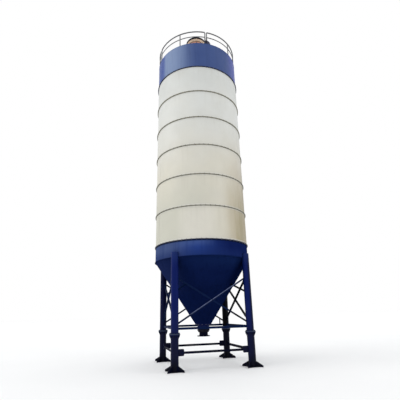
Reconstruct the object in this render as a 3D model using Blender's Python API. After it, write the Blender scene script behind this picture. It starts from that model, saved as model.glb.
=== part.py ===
"""Cement silo on four pipe legs, modelled at its real size.

Metres, +Z up. The origin is on the ground at the middle of the four feet, and
X and Y run along the sides of the leg square. The front is the -Y side.
"""

import math

import bmesh
import bpy
from mathutils import Matrix, Vector

# Driving dimensions: the round shell
SHELL_RADIUS = 1.550
SHELL_WALL = 0.025
SHELL_SEGMENTS = 48
BAND_COUNT = 6
BAND_HEIGHT = 1.057
BOTTOM_FLANGE_Z = 3.570
TOP_SECTION_HEIGHT = 1.090
SKIRT_BOTTOM_Z = 3.085
FLANGE_WIDTH = 0.030
FLANGE_THICKNESS = 0.010

# Small clearances: between neighbours, and where joined pieces are sunk in each other
GAP = 0.0003
WELD_SINK = 0.008
FACE_STEP = 0.001
CUTTER_MARGIN = 0.100

# Driving dimensions: hopper and outlet
HOPPER_BOTTOM_Z = 1.157
HOPPER_BOTTOM_RADIUS = 0.260
HOPPER_WALL_BOTTOM = 0.030
HOPPER_RIM_WIDTH = 0.020
HOPPER_RIM_HEIGHT = 0.020
OUTLET_BORE_RADIUS = 0.110
SPIGOT_RADIUS = 0.200
SPIGOT_BOTTOM_Z = 0.997
SPIGOT_FLANGE_THICKNESS = 0.016
VALVE_BOTTOM_Z = 0.912
NECK_RADIUS = 0.134
NECK_FLANGE_THICKNESS = 0.037
OUTLET_BOTTOM_Z = 0.787
OUTLET_SEGMENTS = 32

# Driving dimensions: legs and feet
LEG_OFFSET = 1.125
LEG_RADIUS = 0.1095
LEG_SEGMENTS = 24
LEG_TOP_Z = 3.215
LEG_JOINT_Z = 0.928
LEG_FLANGE_RADIUS = 0.155
LEG_FLANGE_THICKNESS = 0.020
JOINT_FIN_COUNT = 8
JOINT_FIN_HEIGHT = 0.090
JOINT_FIN_FOOT = 0.114
JOINT_FIN_EDGE = 0.018
JOINT_FIN_REACH = 0.148
JOINT_FIN_THICKNESS = 0.012
BASE_PLATE_SIDE = 0.320
BASE_PLATE_THICKNESS = 0.020
FOOT_FIN_HEIGHT = 0.150
FOOT_FIN_REACH = 0.320
FOOT_FIN_TIP = 0.045
FOOT_FIN_TOP_RADIUS = 0.120
FOOT_FIN_THICKNESS = 0.014

# Driving dimensions: ties, cross braces and hopper struts
TIE_SIZE = 0.063
TIE_THICKNESS = 0.008
UPPER_TIE_Z = 1.076
LOWER_TIE_Z = 0.457
TIE_PLATE_REACH = 0.2645
TIE_PLATE_Z = (0.375, 0.555)
TIE_PLATE_THICKNESS = 0.012
TIE_PLATE_LAP = 0.070
BRACE_SIZE = 0.050
BRACE_THICKNESS = 0.007
BRACE_LOW_Z = 1.156
BRACE_HIGH_Z = 2.509
STRUT_SIZE = 0.050
STRUT_LEG_Z = 2.087
STRUT_SLOPE = 0.512
STRUT_RUN = 0.750
LINK_WIDTH = 0.040
LINK_THICKNESS = 0.008
LINK_FROM_LEG = 0.215
LINK_LAP = 0.005

# Driving dimensions: roof, handrail and dust filter
ROOF_THICKNESS = 0.020
ROOF_MARGIN = 0.110
ROOF_CROWN_RADIUS = 0.480
ROOF_RISE = 0.220
RAIL_RADIUS = 1.525
RAIL_TOP_Z = 11.580
RAIL_MIDDLE_Z = 11.320
RAIL_TUBE_RADIUS = 0.021
RAIL_POST_RADIUS = 0.020
RAIL_MIDDLE_TUBE_RADIUS = 0.016
RAIL_TUBE_SIDES = 10
RAIL_JOINTS_DEG = (-170.5, -90.5, -10.5, 69.5, 149.5, 189.5)
RAIL_MIDDLE_POSTS_DEG = (-128.0, -50.0, 29.5, 109.5)
RAIL_JOINT_GAP_DEG = 2.4
RAIL_ARC_STEP_DEG = 6.5
FILTER_RADIUS = 0.320
FILTER_BAND_RADIUS = 0.333
FILTER_BAND_HEIGHT = 0.066
FILTER_FOOT_RADIUS = 0.410
FILTER_FOOT_THICKNESS = 0.016
FILTER_LID_TOP_Z = 12.445
FILTER_LID_RADIUS = 0.416
FILTER_LID_RIM_HEIGHT = 0.087
FILTER_LID_RIM_WIDTH = 0.012
FILTER_LID_TAPER_HEIGHT = 0.045
FILTER_LID_CROWN = 0.030
FILTER_SEGMENTS = 32
CASING_RADIUS = 0.260
CASING_CENTRE = (0.455, 0.211)
CASING_BOTTOM_Z = 12.220
CASING_TOP_Z = 12.830
CASING_DOME_HEIGHT = 0.110
CASING_DOME_STEPS = 6

# Sizes worked out from the driving dimensions
SHELL_TOP_Z = BOTTOM_FLANGE_Z + BAND_COUNT * BAND_HEIGHT
RIM_Z = SHELL_TOP_Z + TOP_SECTION_HEIGHT
SHELL_INNER = SHELL_RADIUS - SHELL_WALL
FLANGE_RADIUS = SHELL_RADIUS + FLANGE_WIDTH
HOPPER_TOP_Z = SKIRT_BOTTOM_Z - GAP
HOPPER_SLOPE = (SHELL_RADIUS - HOPPER_BOTTOM_RADIUS) / (SKIRT_BOTTOM_Z - HOPPER_BOTTOM_Z)
LEG_AXIS_RADIUS = LEG_OFFSET * math.sqrt(2.0)
SHELL_END_Z = RIM_Z - ROOF_THICKNESS - GAP / 2.0
CROWN_Z = RIM_Z + ROOF_RISE

CORNERS = {
    "front_left": (-1, -1),
    "front_right": (1, -1),
    "back_right": (1, 1),
    "back_left": (-1, 1),
}
# Quarter turns that carry a bar of the front side to each side of the leg square
SIDES = {"front": 0, "right": 1, "back": 2, "left": 3}

# Base colour, metallic value and roughness of each finish
FINISHES = {
    "white_paint": ((0.80, 0.80, 0.74), 0.0, 0.45),
    "blue_paint": ((0.06, 0.10, 0.32), 0.0, 0.40),
    "galvanised_steel": ((0.42, 0.44, 0.45), 0.8, 0.50),
    "black_rubber": ((0.02, 0.02, 0.025), 0.0, 0.60),
    "orange_paint": ((0.78, 0.30, 0.16), 0.0, 0.45),
}


def clear_scene():
    """Remove every object, mesh and material, so that a second run starts clean."""
    for thing in list(bpy.data.objects):
        bpy.data.objects.remove(thing, do_unlink=True)
    for mesh in list(bpy.data.meshes):
        bpy.data.meshes.remove(mesh)
    for material in list(bpy.data.materials):
        bpy.data.materials.remove(material)


def make_materials():
    """One Principled BSDF material for each finish."""
    materials = {}
    for name, (colour, metallic, roughness) in FINISHES.items():
        material = bpy.data.materials.new(name)
        material.use_nodes = True
        shader = material.node_tree.nodes["Principled BSDF"]
        shader.inputs["Base Color"].default_value = (*colour, 1.0)
        shader.inputs["Metallic"].default_value = metallic
        shader.inputs["Roughness"].default_value = roughness
        material.diffuse_color = (*colour, 1.0)
        materials[name] = material
    return materials


def add_object(name, bm, material=None, smooth=True):
    """Make an object from a bmesh, with its normals out and round faces smooth."""
    bmesh.ops.recalc_face_normals(bm, faces=bm.faces)
    mesh = bpy.data.meshes.new(name)
    bm.to_mesh(mesh)
    bm.free()
    thing = bpy.data.objects.new(name, mesh)
    bpy.context.scene.collection.objects.link(thing)
    if material is not None:
        mesh.materials.append(material)
    if smooth:
        shade_round(mesh)
    return thing


def shade_round(mesh):
    """Smooth shading, with edges over 35 degrees kept sharp."""
    mesh.shade_smooth()
    mesh.set_sharp_from_angle(angle=math.radians(35.0))


def lathe(name, profile, segments, material=None, closed=True):
    """Turn a profile of (radius, height) points about Z.

    A closed profile gives a ring. An open one starts and ends on the axis.
    """
    bm = bmesh.new()
    points = [bm.verts.new((radius, 0.0, height)) for radius, height in profile]
    edges = [bm.edges.new(pair) for pair in zip(points, points[1:])]
    if closed:
        edges.append(bm.edges.new((points[-1], points[0])))
    bmesh.ops.spin(
        bm,
        geom=points + edges,
        axis=(0.0, 0.0, 1.0),
        cent=(0.0, 0.0, 0.0),
        angle=math.tau,
        steps=segments,
        use_merge=True,
    )
    bmesh.ops.remove_doubles(bm, verts=bm.verts, dist=1e-6)
    return add_object(name, bm, material)


def cylinder(name, radius, low, high, centre=(0.0, 0.0), segments=LEG_SEGMENTS, material=None):
    """An upright solid cylinder between two heights."""
    bm = bmesh.new()
    place = Matrix.Translation((centre[0], centre[1], (low + high) / 2.0))
    bmesh.ops.create_cone(
        bm,
        cap_ends=True,
        segments=segments,
        radius1=radius,
        radius2=radius,
        depth=high - low,
        matrix=place,
    )
    return add_object(name, bm, material)


def prism(name, outline, depth, place, material=None):
    """Extrude a flat outline of (x, y) points by depth, centred on its plane, then place it."""
    bm = bmesh.new()
    points = [bm.verts.new((x, y, -depth / 2.0)) for x, y in outline]
    face = bm.faces.new(points)
    grown = bmesh.ops.extrude_face_region(bm, geom=[face])
    moved = [item for item in grown["geom"] if isinstance(item, bmesh.types.BMVert)]
    bmesh.ops.translate(bm, verts=moved, vec=(0.0, 0.0, depth))
    bmesh.ops.transform(bm, matrix=place, verts=bm.verts)
    return add_object(name, bm, material, smooth=False)


def tube(name, path, radius, sides, material=None):
    """Sweep a round section along a path of points, with mitred corners and closed ends."""
    points = [Vector(point) for point in path]
    bm = bmesh.new()
    first = (points[1] - points[0]).normalized()
    aside = first.orthogonal().normalized()
    rings = []
    for index, point in enumerate(points):
        before = points[index] - points[index - 1] if index > 0 else points[1] - points[0]
        after = points[index + 1] - points[index] if index + 1 < len(points) else before
        before = before.normalized()
        after = after.normalized()
        mitre = (before + after).normalized()
        if index == 0:
            across = before.cross(aside)
            offsets = []
            for side in range(sides):
                angle = math.tau * side / sides
                offsets.append(radius * (math.cos(angle) * aside + math.sin(angle) * across))
        else:
            offsets = [slide_to_plane(offset, before, mitre) for offset in offsets]
        rings.append([bm.verts.new(point + offset) for offset in offsets])
    for low, high in zip(rings, rings[1:]):
        for side in range(sides):
            other = (side + 1) % sides
            bm.faces.new((low[side], low[other], high[other], high[side]))
    bm.faces.new(rings[0])
    bm.faces.new(rings[-1])
    return add_object(name, bm, material)


def slide_to_plane(offset, direction, normal):
    """Move an offset along a direction until it lies in the plane with this normal."""
    return offset - direction * (offset.dot(normal) / direction.dot(normal))


def bake(thing):
    """Replace an object's mesh by its evaluated one, and drop its modifiers."""
    bpy.context.view_layer.update()
    depsgraph = bpy.context.evaluated_depsgraph_get()
    mesh = bpy.data.meshes.new_from_object(thing.evaluated_get(depsgraph))
    old = thing.data
    thing.modifiers.clear()
    thing.data = mesh
    mesh.name = thing.name
    bpy.data.meshes.remove(old)


def combine(thing, tools, operation):
    """Join the tools to an object or cut them from it, one by one, and remove them."""
    for tool in tools:
        modifier = thing.modifiers.new("shape", "BOOLEAN")
        modifier.operation = operation
        modifier.solver = "EXACT"
        modifier.object = tool
        bake(thing)
        bpy.data.objects.remove(tool, do_unlink=True)
    return thing


def turn(thing, quarter_turns):
    """Turn an object's mesh about Z by whole quarter turns."""
    thing.data.transform(Matrix.Rotation(quarter_turns * math.pi / 2.0, 4, "Z"))
    return thing


def hopper_radius(height):
    """Outer radius of the hopper cone at a height."""
    return HOPPER_BOTTOM_RADIUS + HOPPER_SLOPE * (height - HOPPER_BOTTOM_Z)


def shell_section(name, low, high, material, flange_low=True, flange_high=True):
    """One ring of the shell: its wall, with an angle flange outside at its joints."""
    low += GAP / 2.0
    high -= GAP / 2.0
    profile = [(SHELL_INNER, low)]
    if flange_low:
        profile.append((FLANGE_RADIUS, low))
        profile.append((FLANGE_RADIUS, low + FLANGE_THICKNESS))
        profile.append((SHELL_RADIUS, low + FLANGE_THICKNESS))
    else:
        profile.append((SHELL_RADIUS, low))
    if flange_high:
        profile.append((SHELL_RADIUS, high - FLANGE_THICKNESS))
        profile.append((FLANGE_RADIUS, high - FLANGE_THICKNESS))
        profile.append((FLANGE_RADIUS, high))
    else:
        profile.append((SHELL_RADIUS, high))
    profile.append((SHELL_INNER, high))
    return lathe(name, profile, SHELL_SEGMENTS, material)


def make_shell(materials):
    """Blue skirt below, six white bands, and the blue top section."""
    blue = materials["blue_paint"]
    white = materials["white_paint"]
    shell_section("shell_skirt", SKIRT_BOTTOM_Z, BOTTOM_FLANGE_Z, blue, flange_low=False)
    for index in range(BAND_COUNT):
        low = BOTTOM_FLANGE_Z + index * BAND_HEIGHT
        shell_section("shell_band_%d" % (index + 1), low, low + BAND_HEIGHT, white)
    shell_section("shell_top", SHELL_TOP_Z, SHELL_END_Z, blue, flange_high=False)


def hopper_outer_profile(clearance):
    """Outer line of the hopper and skirt from below the outlet end up, grown by a clearance."""
    rim_low = SKIRT_BOTTOM_Z - HOPPER_RIM_HEIGHT
    return [
        (HOPPER_BOTTOM_RADIUS + clearance, HOPPER_BOTTOM_Z),
        (hopper_radius(rim_low) + clearance, rim_low - clearance),
        (SHELL_RADIUS + HOPPER_RIM_WIDTH + clearance, rim_low - clearance),
        (SHELL_RADIUS + HOPPER_RIM_WIDTH + clearance, SKIRT_BOTTOM_Z + clearance),
        (SHELL_RADIUS + clearance, SKIRT_BOTTOM_Z + clearance),
    ]


def make_hopper(materials):
    """The cone, closed at the top by a narrow rim under the skirt."""
    rim_low = SKIRT_BOTTOM_Z - HOPPER_RIM_HEIGHT
    profile = [
        (HOPPER_BOTTOM_RADIUS - HOPPER_WALL_BOTTOM, HOPPER_BOTTOM_Z),
        (HOPPER_BOTTOM_RADIUS, HOPPER_BOTTOM_Z),
        (hopper_radius(rim_low), rim_low),
        (SHELL_RADIUS + HOPPER_RIM_WIDTH, rim_low),
        (SHELL_RADIUS + HOPPER_RIM_WIDTH, HOPPER_TOP_Z),
        (SHELL_INNER, HOPPER_TOP_Z),
    ]
    lathe("hopper_cone", profile, SHELL_SEGMENTS, materials["blue_paint"])


def make_outlet(materials):
    """Spigot, valve ring and flanged neck under the cone, with one bore through them."""
    blue = materials["blue_paint"]
    top = HOPPER_BOTTOM_Z - GAP
    spigot = [
        (OUTLET_BORE_RADIUS, SPIGOT_BOTTOM_Z),
        (SPIGOT_RADIUS, SPIGOT_BOTTOM_Z),
        (SPIGOT_RADIUS, top - SPIGOT_FLANGE_THICKNESS),
        (HOPPER_BOTTOM_RADIUS, top - SPIGOT_FLANGE_THICKNESS),
        (HOPPER_BOTTOM_RADIUS, top),
        (OUTLET_BORE_RADIUS, top),
    ]
    lathe("outlet_spigot", spigot, OUTLET_SEGMENTS, blue)
    valve = [
        (OUTLET_BORE_RADIUS, VALVE_BOTTOM_Z),
        (SPIGOT_RADIUS, VALVE_BOTTOM_Z),
        (SPIGOT_RADIUS, SPIGOT_BOTTOM_Z - GAP),
        (OUTLET_BORE_RADIUS, SPIGOT_BOTTOM_Z - GAP),
    ]
    lathe("outlet_valve_ring", valve, OUTLET_SEGMENTS, materials["black_rubber"])
    neck = [
        (OUTLET_BORE_RADIUS, OUTLET_BOTTOM_Z),
        (SPIGOT_RADIUS, OUTLET_BOTTOM_Z),
        (SPIGOT_RADIUS, OUTLET_BOTTOM_Z + NECK_FLANGE_THICKNESS),
        (NECK_RADIUS, OUTLET_BOTTOM_Z + NECK_FLANGE_THICKNESS),
        (NECK_RADIUS, VALVE_BOTTOM_Z - GAP),
        (OUTLET_BORE_RADIUS, VALVE_BOTTOM_Z - GAP),
    ]
    lathe("outlet_neck", neck, OUTLET_SEGMENTS, blue)


def fin(name, outline, thickness, centre, angle):
    """An upright plate on a radius: its outline is in (distance from centre, height)."""
    place = Matrix.Translation((centre[0], centre[1], 0.0))
    place @= Matrix.Rotation(angle, 4, "Z") @ Matrix.Rotation(math.pi / 2.0, 4, "X")
    return prism(name, outline, thickness, place)


def foot_fin_outline():
    """Fin of a foot: tall at the pipe, low at its tip, which reaches past the base plate."""
    inner = LEG_RADIUS - WELD_SINK
    return [
        (inner, 0.0),
        (FOOT_FIN_REACH, 0.0),
        (FOOT_FIN_REACH, FOOT_FIN_TIP),
        (FOOT_FIN_TOP_RADIUS, FOOT_FIN_HEIGHT),
        (inner, FOOT_FIN_HEIGHT),
    ]


def joint_fin_outline():
    """Small fin under the flange where the two lengths of a leg are bolted."""
    flange_low = LEG_JOINT_Z - LEG_FLANGE_THICKNESS
    inner = LEG_RADIUS - WELD_SINK
    return [
        (inner, flange_low - JOINT_FIN_HEIGHT),
        (JOINT_FIN_FOOT, flange_low - JOINT_FIN_HEIGHT),
        (JOINT_FIN_REACH, flange_low - JOINT_FIN_EDGE),
        (JOINT_FIN_REACH, flange_low + WELD_SINK),
        (inner, flange_low + WELD_SINK),
    ]


def make_foot(corner, signs, materials):
    """Lower length of a leg: pipe, base plate, fins, joint flange and tie plates."""
    centre = (signs[0] * LEG_OFFSET, signs[1] * LEG_OFFSET)
    blue = materials["blue_paint"]
    half = BASE_PLATE_SIDE / 2.0
    top = LEG_JOINT_Z - GAP
    square = [(-half, -half), (half, -half), (half, half), (-half, half)]
    plate_place = Matrix.Translation((centre[0], centre[1], BASE_PLATE_THICKNESS / 2.0))
    foot = prism("leg_foot_" + corner, square, BASE_PLATE_THICKNESS, plate_place, blue)
    added = [
        cylinder("pipe", LEG_RADIUS, BASE_PLATE_THICKNESS / 2.0, top - FACE_STEP, centre),
        cylinder("flange", LEG_FLANGE_RADIUS, top - LEG_FLANGE_THICKNESS, top, centre),
    ]
    for index in range(4):
        angle = math.pi / 4.0 + index * math.pi / 2.0
        added.append(fin("fin", foot_fin_outline(), FOOT_FIN_THICKNESS, centre, angle))
    for index in range(JOINT_FIN_COUNT):
        angle = (index + 0.5) * math.tau / JOINT_FIN_COUNT
        added.append(fin("fin", joint_fin_outline(), JOINT_FIN_THICKNESS, centre, angle))
    low, high = TIE_PLATE_Z
    inner = LEG_RADIUS - WELD_SINK
    outline = [(inner, low), (TIE_PLATE_REACH, low), (TIE_PLATE_REACH, high), (inner, high)]
    along_x = math.pi if signs[0] > 0 else 0.0
    along_y = -math.pi / 2.0 if signs[1] > 0 else math.pi / 2.0
    for angle in (along_x, along_y):
        added.append(fin("plate", outline, TIE_PLATE_THICKNESS, centre, angle))
    combine(foot, added, "UNION")
    shade_round(foot.data)


def shell_clearance(name):
    """Solid that holds the hopper and skirt with the gap left round them."""
    high = LEG_TOP_Z + CUTTER_MARGIN
    profile = [(0.0, HOPPER_BOTTOM_Z)]
    profile += hopper_outer_profile(GAP)
    profile += [(SHELL_RADIUS + GAP, high), (0.0, high)]
    return lathe(name, profile, SHELL_SEGMENTS, closed=False)


def make_leg(corner, signs, materials):
    """Upper length of a leg: its flange, and its pipe, notched to fit the hopper and skirt."""
    centre = (signs[0] * LEG_OFFSET, signs[1] * LEG_OFFSET)
    blue = materials["blue_paint"]
    pipe_low = LEG_JOINT_Z + FACE_STEP
    leg = cylinder("leg_post_" + corner, LEG_RADIUS, pipe_low, LEG_TOP_Z, centre, material=blue)
    flange_high = LEG_JOINT_Z + LEG_FLANGE_THICKNESS
    flange = cylinder("flange", LEG_FLANGE_RADIUS, LEG_JOINT_Z, flange_high, centre)
    combine(leg, [flange], "UNION")
    combine(leg, [shell_clearance("notch")], "DIFFERENCE")
    shade_round(leg.data)


def angle_bar(name, start, end, out, size, thickness, lip_up, material):
    """Equal angle bar between two points on its back.

    The back lies in the plane of start, end and the bar's upward side. The leg on it
    is centred on the line, and the lip stands out from its upper or its lower edge.
    """
    start = Vector(start)
    end = Vector(end)
    along = (end - start).normalized()
    out = Vector(out).normalized()
    upward = out.cross(along).normalized()
    if upward.z < 0.0:
        upward = -upward
    half = size / 2.0
    if lip_up:
        outline = [
            (0.0, -half),
            (thickness, -half),
            (thickness, half - thickness),
            (size, half - thickness),
            (size, half),
            (0.0, half),
        ]
    else:
        outline = [
            (0.0, -half),
            (size, -half),
            (size, thickness - half),
            (thickness, thickness - half),
            (thickness, half),
            (0.0, half),
        ]
    bm = bmesh.new()
    ends = []
    for point in (start, end):
        ends.append([bm.verts.new(point + out * x + upward * y) for x, y in outline])
    count = len(outline)
    for index in range(count):
        other = (index + 1) % count
        bm.faces.new((ends[0][index], ends[0][other], ends[1][other], ends[1][index]))
    bm.faces.new(ends[0])
    bm.faces.new(ends[1])
    return add_object(name, bm, material, smooth=False)


def leg_cutters(side_of_square):
    """Pipes, grown by the gap, that trim the bars between the two legs of one side."""
    cutters = []
    for sign in (-1, 1):
        centre = (sign * LEG_OFFSET, side_of_square * LEG_OFFSET)
        cutters.append(cylinder("trim", LEG_RADIUS + GAP, 0.0, LEG_TOP_Z, centre))
    return cutters


def make_bracing(materials):
    """Two crossed braces, an upper tie and a lower tie on each side of the leg square."""
    blue = materials["blue_paint"]
    outward = (0.0, -1.0, 0.0)
    inward = (0.0, 1.0, 0.0)
    for side, quarter_turns in SIDES.items():
        back = -LEG_OFFSET - GAP / 2.0
        rising = angle_bar(
            "brace_%s_outer" % side,
            (-LEG_OFFSET, back, BRACE_LOW_Z),
            (LEG_OFFSET, back, BRACE_HIGH_Z),
            outward,
            BRACE_SIZE,
            BRACE_THICKNESS,
            True,
            blue,
        )
        back = -LEG_OFFSET + GAP / 2.0
        falling = angle_bar(
            "brace_%s_inner" % side,
            (-LEG_OFFSET, back, BRACE_HIGH_Z),
            (LEG_OFFSET, back, BRACE_LOW_Z),
            inward,
            BRACE_SIZE,
            BRACE_THICKNESS,
            True,
            blue,
        )
        back = -LEG_OFFSET - TIE_THICKNESS / 2.0
        upper = angle_bar(
            "tie_upper_%s" % side,
            (-LEG_OFFSET, back, UPPER_TIE_Z),
            (LEG_OFFSET, back, UPPER_TIE_Z),
            inward,
            TIE_SIZE,
            TIE_THICKNESS,
            False,
            blue,
        )
        for bar in (rising, falling, upper):
            combine(bar, leg_cutters(-1), "DIFFERENCE")
        reach = LEG_OFFSET - TIE_PLATE_REACH + TIE_PLATE_LAP
        back = -LEG_OFFSET + TIE_PLATE_THICKNESS / 2.0 + GAP
        lower = angle_bar(
            "tie_lower_%s" % side,
            (-reach, back, LOWER_TIE_Z),
            (reach, back, LOWER_TIE_Z),
            inward,
            TIE_SIZE,
            TIE_THICKNESS,
            False,
            blue,
        )
        for bar in (rising, falling, upper, lower):
            turn(bar, quarter_turns)


def make_tie_link(materials):
    """Short flat bar that hangs the back tie from the brace beside the back right leg."""
    x = LEG_OFFSET - LINK_FROM_LEG
    share = LINK_FROM_LEG / (2.0 * LEG_OFFSET)
    brace_z = BRACE_LOW_Z + share * (BRACE_HIGH_Z - BRACE_LOW_Z)
    low = UPPER_TIE_Z - TIE_SIZE / 2.0
    high = brace_z + LINK_LAP
    y = LEG_OFFSET + max(TIE_THICKNESS / 2.0, BRACE_THICKNESS) + LINK_THICKNESS / 2.0 + GAP
    half = LINK_WIDTH / 2.0
    square = [(x - half, low), (x + half, low), (x + half, high), (x - half, high)]
    place = Matrix.Translation((0.0, y, 0.0)) @ Matrix.Rotation(math.pi / 2.0, 4, "X")
    prism("tie_link_back", square, LINK_THICKNESS, place, materials["blue_paint"])


def make_struts(materials):
    """A short angle from each leg up to the cone, on the diagonals of the leg square."""
    blue = materials["blue_paint"]
    leg_face = LEG_AXIS_RADIUS - LEG_RADIUS
    start_r = LEG_AXIS_RADIUS
    start_z = STRUT_LEG_Z - STRUT_SLOPE * (start_r - leg_face)
    for corner, signs in CORNERS.items():
        inward = Vector((-signs[0], -signs[1], 0.0)).normalized()
        start = -inward * start_r + Vector((0.0, 0.0, start_z))
        end = start + inward * STRUT_RUN + Vector((0.0, 0.0, STRUT_RUN * STRUT_SLOPE))
        aside = inward.cross(Vector((0.0, 0.0, 1.0)))
        bar = angle_bar(
            "hopper_strut_" + corner,
            start - aside * BRACE_THICKNESS / 2.0,
            end - aside * BRACE_THICKNESS / 2.0,
            aside,
            STRUT_SIZE,
            BRACE_THICKNESS,
            True,
            blue,
        )
        centre = (signs[0] * LEG_OFFSET, signs[1] * LEG_OFFSET)
        trims = [
            cylinder("trim", LEG_RADIUS + GAP, 0.0, LEG_TOP_Z, centre),
            shell_clearance("notch"),
        ]
        combine(bar, trims, "DIFFERENCE")


def make_roof(materials):
    """Low conical roof plate on the shell's edge, with a flat margin and a flat crown."""
    margin = SHELL_RADIUS - ROOF_MARGIN
    low = RIM_Z - ROOF_THICKNESS
    profile = [
        (0.0, CROWN_Z),
        (ROOF_CROWN_RADIUS, CROWN_Z),
        (margin, RIM_Z),
        (SHELL_RADIUS, RIM_Z),
        (SHELL_RADIUS, low),
        (margin, low),
        (ROOF_CROWN_RADIUS, CROWN_Z - ROOF_THICKNESS),
        (0.0, CROWN_Z - ROOF_THICKNESS),
    ]
    lathe("roof_plate", profile, SHELL_SEGMENTS, materials["blue_paint"], closed=False)


def level_point(radius, angle_deg, height):
    """Point at an angle about the silo's axis."""
    angle = math.radians(angle_deg)
    return (radius * math.cos(angle), radius * math.sin(angle), height)


def arc_points(radius, start_deg, end_deg, height):
    """Points along a level arc about the silo's axis."""
    steps = round((end_deg - start_deg) / RAIL_ARC_STEP_DEG)
    points = []
    for step in range(steps + 1):
        angle_deg = start_deg + (end_deg - start_deg) * step / steps
        points.append(level_point(radius, angle_deg, height))
    return points


def make_handrail(materials):
    """Curved sections, each bent down to a post at both ends, with a middle rail and a middle post.

    Four are long. The fifth closes the ring at the back and needs no middle post.
    """
    steel = materials["galvanised_steel"]
    foot_z = RIM_Z + GAP
    top_z = RAIL_TOP_Z - RAIL_TUBE_RADIUS
    for index, (low_deg, high_deg) in enumerate(zip(RAIL_JOINTS_DEG, RAIL_JOINTS_DEG[1:])):
        start = low_deg + RAIL_JOINT_GAP_DEG / 2.0
        end = high_deg - RAIL_JOINT_GAP_DEG / 2.0
        path = [level_point(RAIL_RADIUS, start, foot_z)]
        path += arc_points(RAIL_RADIUS, start, end, top_z)
        path.append(level_point(RAIL_RADIUS, end, foot_z))
        name = "handrail_section_%d" % (index + 1)
        rail = tube(name, path, RAIL_TUBE_RADIUS, RAIL_TUBE_SIDES, steel)
        middle = arc_points(RAIL_RADIUS, start, end, RAIL_MIDDLE_Z)
        added = [tube("middle", middle, RAIL_MIDDLE_TUBE_RADIUS, RAIL_TUBE_SIDES)]
        for post_deg in RAIL_MIDDLE_POSTS_DEG:
            if start < post_deg < end:
                post = [level_point(RAIL_RADIUS, post_deg, z) for z in (foot_z, top_z)]
                added.append(tube("post", post, RAIL_POST_RADIUS, RAIL_TUBE_SIDES))
        combine(rail, added, "UNION")
        shade_round(rail.data)


def make_filter(materials):
    """Round dust filter on the crown, its tapered lid, and the fan casing at its side."""
    foot_z = CROWN_Z + GAP
    rim_low = FILTER_LID_TOP_Z - FILTER_LID_RIM_HEIGHT
    lid_low = rim_low - FILTER_LID_TAPER_HEIGHT
    body_top = lid_low - GAP
    band_low = body_top - FILTER_BAND_HEIGHT
    body = [
        (0.0, foot_z),
        (FILTER_FOOT_RADIUS, foot_z),
        (FILTER_FOOT_RADIUS, foot_z + FILTER_FOOT_THICKNESS),
        (FILTER_RADIUS, foot_z + FILTER_FOOT_THICKNESS),
        (FILTER_RADIUS, band_low),
        (FILTER_BAND_RADIUS, band_low),
        (FILTER_BAND_RADIUS, body_top),
        (0.0, body_top),
    ]
    lathe("filter_body", body, FILTER_SEGMENTS, materials["orange_paint"], closed=False)
    lid = [
        (0.0, lid_low),
        (FILTER_BAND_RADIUS, lid_low),
        (FILTER_LID_RADIUS - FILTER_LID_RIM_WIDTH, rim_low),
        (FILTER_LID_RADIUS, rim_low),
        (FILTER_LID_RADIUS, FILTER_LID_TOP_Z),
        (0.0, FILTER_LID_TOP_Z + FILTER_LID_CROWN),
    ]
    lathe("filter_lid", lid, FILTER_SEGMENTS, materials["black_rubber"], closed=False)
    dome_low = CASING_TOP_Z - CASING_DOME_HEIGHT
    casing_profile = [(0.0, CASING_BOTTOM_Z), (CASING_RADIUS, CASING_BOTTOM_Z)]
    for step in range(CASING_DOME_STEPS):
        angle = math.pi / 2.0 * step / CASING_DOME_STEPS
        height = dome_low + CASING_DOME_HEIGHT * math.sin(angle)
        casing_profile.append((CASING_RADIUS * math.cos(angle), height))
    casing_profile.append((0.0, CASING_TOP_Z))
    blue = materials["blue_paint"]
    casing = lathe("filter_fan_casing", casing_profile, FILTER_SEGMENTS, blue, closed=False)
    casing.data.transform(Matrix.Translation((CASING_CENTRE[0], CASING_CENTRE[1], 0.0)))
    trims = []
    high = CASING_TOP_Z + CUTTER_MARGIN
    for radius, low in (
        (FILTER_RADIUS, foot_z),
        (FILTER_BAND_RADIUS, band_low),
        (FILTER_LID_RADIUS, lid_low),
    ):
        trims.append(cylinder("trim", radius + GAP, low - GAP, high, segments=FILTER_SEGMENTS))
    combine(casing, trims, "DIFFERENCE")
    shade_round(casing.data)


def main():
    clear_scene()
    materials = make_materials()
    for corner, signs in CORNERS.items():
        make_foot(corner, signs, materials)
        make_leg(corner, signs, materials)
    make_bracing(materials)
    make_tie_link(materials)
    make_struts(materials)
    make_hopper(materials)
    make_outlet(materials)
    make_shell(materials)
    make_roof(materials)
    make_handrail(materials)
    make_filter(materials)


main()
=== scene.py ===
"""Looks of a cement silo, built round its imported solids.

Metres, +Z up. X and Y run along the sides of the leg square, and the front is the -Y side.
Azimuths are degrees about +Z, from +X. Sections are lists of (radius, height).
"""
import math

import bmesh
import bpy
from mathutils import Matrix, Vector


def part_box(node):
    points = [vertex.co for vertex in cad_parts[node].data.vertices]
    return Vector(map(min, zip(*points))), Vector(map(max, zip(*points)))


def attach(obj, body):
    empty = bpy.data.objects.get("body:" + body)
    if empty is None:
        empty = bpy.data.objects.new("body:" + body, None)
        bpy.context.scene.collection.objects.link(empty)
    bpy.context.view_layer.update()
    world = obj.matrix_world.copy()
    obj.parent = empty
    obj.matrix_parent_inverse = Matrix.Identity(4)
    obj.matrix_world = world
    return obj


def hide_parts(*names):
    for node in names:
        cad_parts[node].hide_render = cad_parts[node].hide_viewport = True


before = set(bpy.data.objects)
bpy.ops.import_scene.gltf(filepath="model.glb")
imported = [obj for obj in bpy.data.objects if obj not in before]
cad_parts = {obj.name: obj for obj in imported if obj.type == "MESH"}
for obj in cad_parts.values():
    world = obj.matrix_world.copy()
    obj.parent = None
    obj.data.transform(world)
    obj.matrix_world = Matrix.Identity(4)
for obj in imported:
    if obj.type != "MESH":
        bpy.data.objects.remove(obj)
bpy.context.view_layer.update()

# Sizes read from the frame
BANDS = 6
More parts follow.
